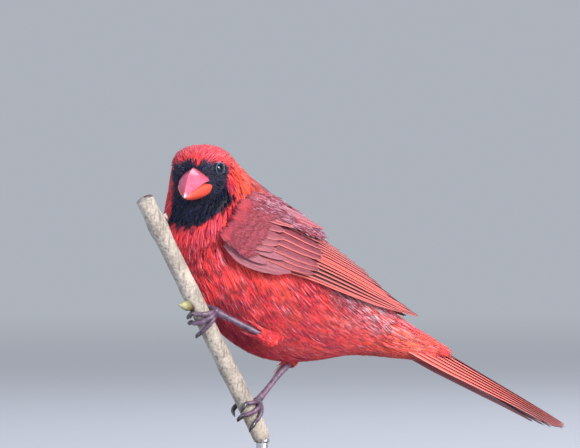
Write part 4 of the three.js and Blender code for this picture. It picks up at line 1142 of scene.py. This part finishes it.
# Legs
toes = [
    {"name": "inner", "length": 11, "claw": 4.8, "drift": 4.8, "wrap": 1, "radius": 1.0},
    {"name": "middle", "length": 15, "claw": 5.6, "drift": 0.2, "wrap": 1, "radius": 1.1},
    {"name": "outer", "length": 11.5, "claw": 4.8, "drift": -4.6, "wrap": 1, "radius": 1.0},
    {"name": "hind", "length": 9.5, "claw": 6.4, "drift": 2.4, "wrap": -1, "radius": 1.15},
]
legShape = {"clawDroop": -2.6, "tarsus": [1.9, 1.35, 1.2, 1.25, 1.6], "toeShare": 6 / 8,
            "toe": [1.15, 1.05, 1.1, 0.95, 1, 0.85, 0.85, 0.5], "claw": [0.8, 0.9, 0.78, 0.55], "point": 0.1,
            "tarsusScales": (11, 0.07), "toeScales": (9, 0.06), "tarsusGrid": (90, 28), "toeGrid": (60, 20),
            "clawGrid": (36, 18), "ball": (18, 24, 0.05), "tarsusEnds": (1.5, 0.4), "clawIn": 0.03}
legLook = {"sizes": (300.0, 1800.0, 0.45), "spread": (0.35, 0.68), "dark": (0.045, 0.028, 0.060, 1),
           "light": (0.20, 0.12, 0.19, 1), "rough": (0.38, 0.6), "bump": (0.3, 0.0002),
           "fixed": {"Specular_IOR_Level": 0.5, "Coat_Weight": 0.15, "Coat_Roughness": 0.35}}
clawLook = {"sizes": (400.0, 2200.0, 0.3), "spread": (0.35, 0.7), "dark": (0.018, 0.017, 0.024, 1),
            "light": (0.07, 0.06, 0.075, 1), "rough": (0.22, 0.4),
            "fixed": {"Specular_IOR_Level": 0.55, "Coat_Weight": 0.3, "Coat_Roughness": 0.2}}
legSkin, clawHorn = speckled("legSkin", legLook), speckled("clawHorn", clawLook)


def toeLine(side, toe):
    axisPoint, palm, wrap, _ = gripOf(side)
    hold = stem["radius"] + footGap + toe["radius"]

    def at(angle, out, drift):
        spoke = palm * math.cos(angle) + wrap * toe["wrap"] * math.sin(angle)
        return axisPoint + spoke * (hold + out) + stemAxis * drift

    bend, curl, droop = toe["length"] / (hold + 0.3), toe["claw"] / (hold + 2), legShape["clawDroop"]
    return ([at(bend * s, 0.7 * (1 - s) ** 3, toe["drift"] * s) for s in np.linspace(0, 1, 7)]
            + [at(bend + curl * 0.45, 1.1, toe["drift"] + droop * 0.3),
               at(bend + curl * 0.95, 1.2, toe["drift"] + droop)])


def scales(count, depth):
    return lambda t, a: 1 + depth * (np.mod(t * count, 1.0) - 0.5)


def evenly(values, count):
    return smooth(values, np.linspace(0, 1, count) * (len(values) - 1))


def makeLeg(side):
    palm, centre = gripOf(side)[1], gripOf(side)[3]
    heel = np.array(legs[side]["heel"], float)
    line = unit(heel - centre)
    rows, sides = legShape["tarsusGrid"]
    inHeel, inFoot = legShape["tarsusEnds"]
    path = mix(heel + line * inHeel, centre + line * inFoot, np.linspace(0, 1, rows)[:, None])
    radii = evenly(legShape["tarsus"], rows)
    rings = pathRings(path, radii, sides, profile=scales(*legShape["tarsusScales"]))
    makeTube(f"tarsus.{side}", rings, legSkin, "leg_skin", f"tarsus_{side}")
    pile = Pile()
    x, y, z = np.eye(3)
    pile.add(*tubeMesh(centre + ballRings(z, x, y, *legShape["ball"])[0] * ballRadius))
    for toe in toes:
        toePath, share, r = toeLine(side, toe), legShape["toeShare"], toe["radius"]
        rows, sides = legShape["toeGrid"]
        radii = evenly([r * k for k in legShape["toe"]], rows)
        pile.add(*tubeMesh(pathRings(spline(toePath, np.linspace(0, share, rows)), radii, sides, start=palm,
                                     profile=scales(*legShape["toeScales"]))))
        rows, sides = legShape["clawGrid"]
        radii = evenly([r * k for k in legShape["claw"]] + [legShape["point"]], rows)
        path = spline(toePath, np.linspace(share - legShape["clawIn"], 1, rows))
        rings = pathRings(path, radii, sides, start=palm)
        makeTube(f"claw.{side}.{toe['name']}", rings, clawHorn, "claw_horn", f"claw_{side}_{toe['name']}")
    finish(pile.make(f"foot.{side}", legSkin), "leg_skin", f"foot_{side}")


for legSide in legs:
    makeLeg(legSide)
print("legs made")


# Small shapes that Geometry Nodes scatter
def scatterTree(name, kind, shape):
    # a node tree that scatters one small shape over a surface and returns only the copies
    tree = bpy.data.node_groups.new(name, "GeometryNodeTree")
    inputs = {"Geometry": "Geometry", "Density": "Float", "Seed": "Int", "Size": "Float", "Stretch": "Vector",
              "Material": "Material"}
    for label, socket in inputs.items():
        tree.interface.new_socket(label, in_out="INPUT", socket_type="NodeSocket" + socket)
    tree.interface.new_socket("Geometry", in_out="OUTPUT", socket_type="NodeSocketGeometry")
    n = Nodes(tree)
    given, out = tree.nodes.new("NodeGroupInput").outputs, tree.nodes.new("NodeGroupOutput").inputs
    spread = n.add("GeometryNodeDistributePointsOnFaces",
                   {"Mesh": given["Geometry"], "Density": given["Density"], "Seed": given["Seed"]}).outputs
    solid = n.add(kind, shape).outputs["Mesh"]
    sizes = {2: 0.6, 3: 1.3, "Seed": given["Seed"]}
    varied = n.add("FunctionNodeRandomValue", sizes, data_type="FLOAT").outputs[1]
    size = n.times(varied, given["Size"])
    scale = n.add("ShaderNodeVectorMath", {0: given["Stretch"], "Scale": size}, operation="SCALE").outputs[0]
    copies = n.add("GeometryNodeInstanceOnPoints", {"Points": spread["Points"], "Instance": solid,
                                                    "Rotation": spread["Rotation"], "Scale": scale})
    plain = n.add("GeometryNodeRealizeInstances", {"Geometry": copies.outputs["Instances"]})
    dressed = n.add("GeometryNodeSetMaterial", {"Geometry": plain.outputs[0], "Material": given["Material"]})
    n.put(out["Geometry"], dressed.outputs[0])
    return tree


def scatterPiece(name, ground, tree, settings, material, slotName):
    # runs the node tree on a surface and keeps its result as a plain mesh of its own
    spread = ground.modifiers.new("scatter", "NODES")
    spread.node_group = tree
    chosen = dict(settings, Material=material)
    for item in tree.interface.items_tree:
        if item.in_out == "INPUT" and item.name in chosen:
            spread[item.identifier] = chosen[item.name]
    result = bpy.data.meshes.new_from_object(ground.evaluated_get(bpy.context.evaluated_depsgraph_get()))
    ground.modifiers.remove(spread)
    result.name = name
    result.materials.clear()
    result.materials.append(material)
    finish(addObject(name, result), slotName)
    print(name, len(result.polygons), "faces")


spikes = scatterTree("scatterBristles", "GeometryNodeMeshCone",
                     {"Vertices": 5, "Radius Top": 0.1, "Radius Bottom": 1.0, "Depth": 2.0})
beads = scatterTree("scatterBeads", "GeometryNodeMeshIcoSphere", {"Radius": 1.0, "Subdivisions": 1})
bristleLook = {"Density": 700000.0, "Seed": 9, "Size": 0.00016, "Stretch": (1.0, 1.0, 9.0)}
bristleStrip = {"rows": 6, "columns": 4, "z": (121.5, 128.6), "ahead": (16.2, 2.2, 1.0),
                "side": (7.2, 3.0, 1.3)}


def makeBristles(side, sign):
    # stiff black bristles that lean forward over the bill's root, on a strip from the gape to the nostril
    strip = bristleStrip
    t, across = crossed(np.linspace(0, 1, strip["rows"]), np.linspace(0, 1, strip["columns"]))
    (ahead, rise, forward), (out, narrow, inward) = strip["ahead"], strip["side"]
    points = fromHead(ahead + rise * t + forward * across, sign * (out - narrow * t**1.5 - inward * across),
                      mix(*strip["z"], t)).reshape(-1, 3)
    ground = makeObject("bristleGround", points, gridFaces(strip["rows"], strip["columns"], False), plumage)
    if sign > 0:
        ground.data.flip_normals()
    scatterPiece(f"bristles.{side}", ground, spikes, bristleLook, clawHorn, "red_plumage")
    bpy.data.objects.remove(ground)


makeBristles("left", 1)
makeBristles("right", -1)

# Stem, its buds and its pores
stemLook = {"rings": 420, "sides": 96, "swellings": [(105, 0.5), (79, 0.2), (47, 0.2)], "swellWidth": 3.5,
            "rough": 0.12, "roughScale": (1.2, 0.12), "knotWidth": 2.6, "lean": (-0.25, 0.53, 0.0),
            "cut": (1.0, 1.4, 0.9), "dark": (0.24, 0.21, 0.19, 1), "light": (0.52, 0.47, 0.41, 1),
            "fibre": (0.13, 0.11, 0.11, 1), "knot": (0.10, 0.055, 0.045, 1), "green": (0.33, 0.36, 0.10, 1)}
buds = [{"name": "upper", "z": 105, "turn": 20, "length": 3.2, "radius": 1.9, "green": 0.0},
        {"name": "side", "z": 74, "turn": 205, "length": 5.5, "radius": 2.1, "green": 0.45},
        {"name": "scar", "z": 47, "turn": 75, "length": 1.6, "radius": 1.6, "green": 0.0}]
budShape = {"sink": 1.2, "out": 0.8, "onward": 0.6, "radii": (0.85, 1.0, 0.72, 0.12), "rows": 60, "sides": 28,
            "scales": 4, "scale": 0.10}
poreSpread = {"Density": 26000.0, "Seed": 4, "Size": 0.0003, "Stretch": (1.0, 1.5, 0.4)}
poreLook = {"sizes": (300.0, 2000.0, 0.5), "spread": (0.35, 0.65), "dark": (0.16, 0.12, 0.10, 1),
            "light": (0.40, 0.34, 0.28, 1), "fixed": {"Specular_IOR_Level": 0.3, "Roughness": 0.85}}


def squareTo(turn):
    first = unit(np.array([1.0, 0, 0]) - stemAxis * stemAxis[0])
    return first * math.cos(math.radians(turn)) + np.cross(stemAxis, first) * math.sin(math.radians(turn))


def barkMaterial(look):
    n = newMaterial("bark", Specular_IOR_Level=0.3)
    spots = n.mottled(120.0, 900.0, 0.5)
    fibre = n.cloud(n.place(Rotation=look["lean"], Scale=(1.0, 1.0, 0.12)), 900.0, 3.0)
    colour = n.blend(n.ramp(spots, 0.3, 0.7), look["dark"], look["light"])
    colour = n.blend(n.ramp(fibre, 0.52, 0.7, 0.0, 0.7), colour, look["fibre"])
    colour = n.blend(n.ramp(n.plus(n.read("knot"), n.times(spots, 0.3)), 0.35, 0.8), colour, look["knot"])
    colour = n.blend(n.read("green"), colour, look["green"])
    height = n.maths("SUBTRACT", spots, n.times(fibre, 0.5))
    return n.close(colour, n.ramp(spots, 0.3, 0.7, 0.6, 0.85), (height, 0.5, 0.0006))


bark = barkMaterial(stemLook)


def makeStem():
    look, z = stemLook, np.linspace(stem["bottomZ"], stem["topZ"], stemLook["rings"])
    swell = sum(rise * hump(z, at, look["swellWidth"]) for at, rise in look["swellings"])
    first, second, (wide, tall) = squareTo(0), squareTo(90), look["roughScale"]
    rings = []
    for centre, extra in zip(onStem(z), swell):
        rough = np.array([noise.noise(Vector((math.cos(a) * wide, math.sin(a) * wide, centre[2] * tall)))
                          for a in turnsOf(look["sides"])])
        rings.append(hoop(centre, first, second, stem["radius"] + extra + look["rough"] * rough))
    points = np.vstack(rings + [rings[0].mean(0), rings[-1].mean(0)])
    low, high, share = look["cut"]
    knot = share * step(stem["topZ"] + low, stem["topZ"] + high, points[:, 2])
    for bud in buds:
        place = onStem(bud["z"]) + squareTo(bud["turn"]) * stem["radius"]
        knot = np.maximum(knot, hump(sizeOf(points - place), 0, look["knotWidth"]))
    return makeTube("stem", np.array(rings), bark, "bark", "perch", values={"knot": knot, "green": 0 * knot})


def makeBud(bud):
    # overlapping scales round a pointed bud, in rings that step outwards at each scale's end
    way, shape = squareTo(bud["turn"]), budShape
    share = np.linspace(0, 1, shape["rows"])
    start = onStem(bud["z"]) + way * (stem["radius"] - shape["sink"])
    lean = way * shape["out"] + stemAxis * shape["onward"]
    centres = start + lean * (share * (bud["length"] + shape["sink"]))[:, None]
    radii = evenly([bud["radius"] * k for k in shape["radii"]], shape["rows"])
    rings = pathRings(centres, radii, shape["sides"], profile=lambda t, a: 1 + shape["scale"]
                      * (0.5 - np.mod(t * shape["scales"] + 0.5 * np.cos(2 * a), 1)))
    along = np.concatenate([np.repeat(share, shape["sides"]), [0, 1]])
    values = {"knot": 0.75 - 0.6 * step(0.2, 0.9, along), "green": bud["green"] * step(0.1, 0.5, along)}
    makeTube(f"bud.{bud['name']}", rings, bark, "bark", values=values)


stemPiece = makeStem()
for stemBud in buds:
    makeBud(stemBud)
scatterPiece("stem.pores", stemPiece, beads, poreSpread, speckled("barkPores", poreLook), "bark")
print("stem made")

# Floor, and finishes for the stand's own nodes
floorLook = {"sides": 96, "rings": (1, 500, 2000, 30000), "z": -0.2, "colour": (0.36, 0.37, 0.40, 1),
             "rough": 0.7, "fade": (0.25, 2.6)}
woodLook = {"sizes": (20.0, 160.0, 0.5), "spread": (0.35, 0.65), "dark": (0.035, 0.016, 0.008, 1),
            "light": (0.12, 0.055, 0.025, 1), "rough": (0.3, 0.5), "turned": {"Scale": (1.0, 9.0, 9.0)},
            "fixed": {"Coat_Weight": 0.3, "Coat_Roughness": 0.3}}
steelLook = {"sizes": (200.0, 1500.0, 0.5), "light": (0.62, 0.63, 0.65, 1), "rough": (0.22, 0.36),
             "fixed": {"Metallic": 1.0}}


def makeFloor():
    # near the stand a plain floor, further out the colour of the surround
    x, y, z = np.eye(3)
    sides = floorLook["sides"]
    points = np.vstack([hoop(z * floorLook["z"], x, y, np.full(sides, float(r))) for r in floorLook["rings"]])
    n = newMaterial("paleFloor")
    n.close(floorLook["colour"], floorLook["rough"])
    far = n.add("ShaderNodeEmission", surround).outputs[0]
    reach = n.add("ShaderNodeVectorMath", {0: n.place()}, operation="LENGTH").outputs["Value"]
    near = n.tree.nodes["Principled BSDF"].outputs[0]
    fade = n.add("ShaderNodeMixShader", {"Fac": n.ramp(reach, *floorLook["fade"]), 1: near, 2: far})
    n.put(n.tree.nodes["Material Output"].inputs["Surface"], fade.outputs[0])
    makeObject("floor", points, gridFaces(len(floorLook["rings"]), sides), n.material)


makeFloor()
for standNode, material in (("stand_base", speckled("standWood", woodLook)),
                            ("stand_rod", speckled("standSteel", steelLook))):
    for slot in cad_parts[standNode].material_slots:
        slot.material = material
print("stand finished")
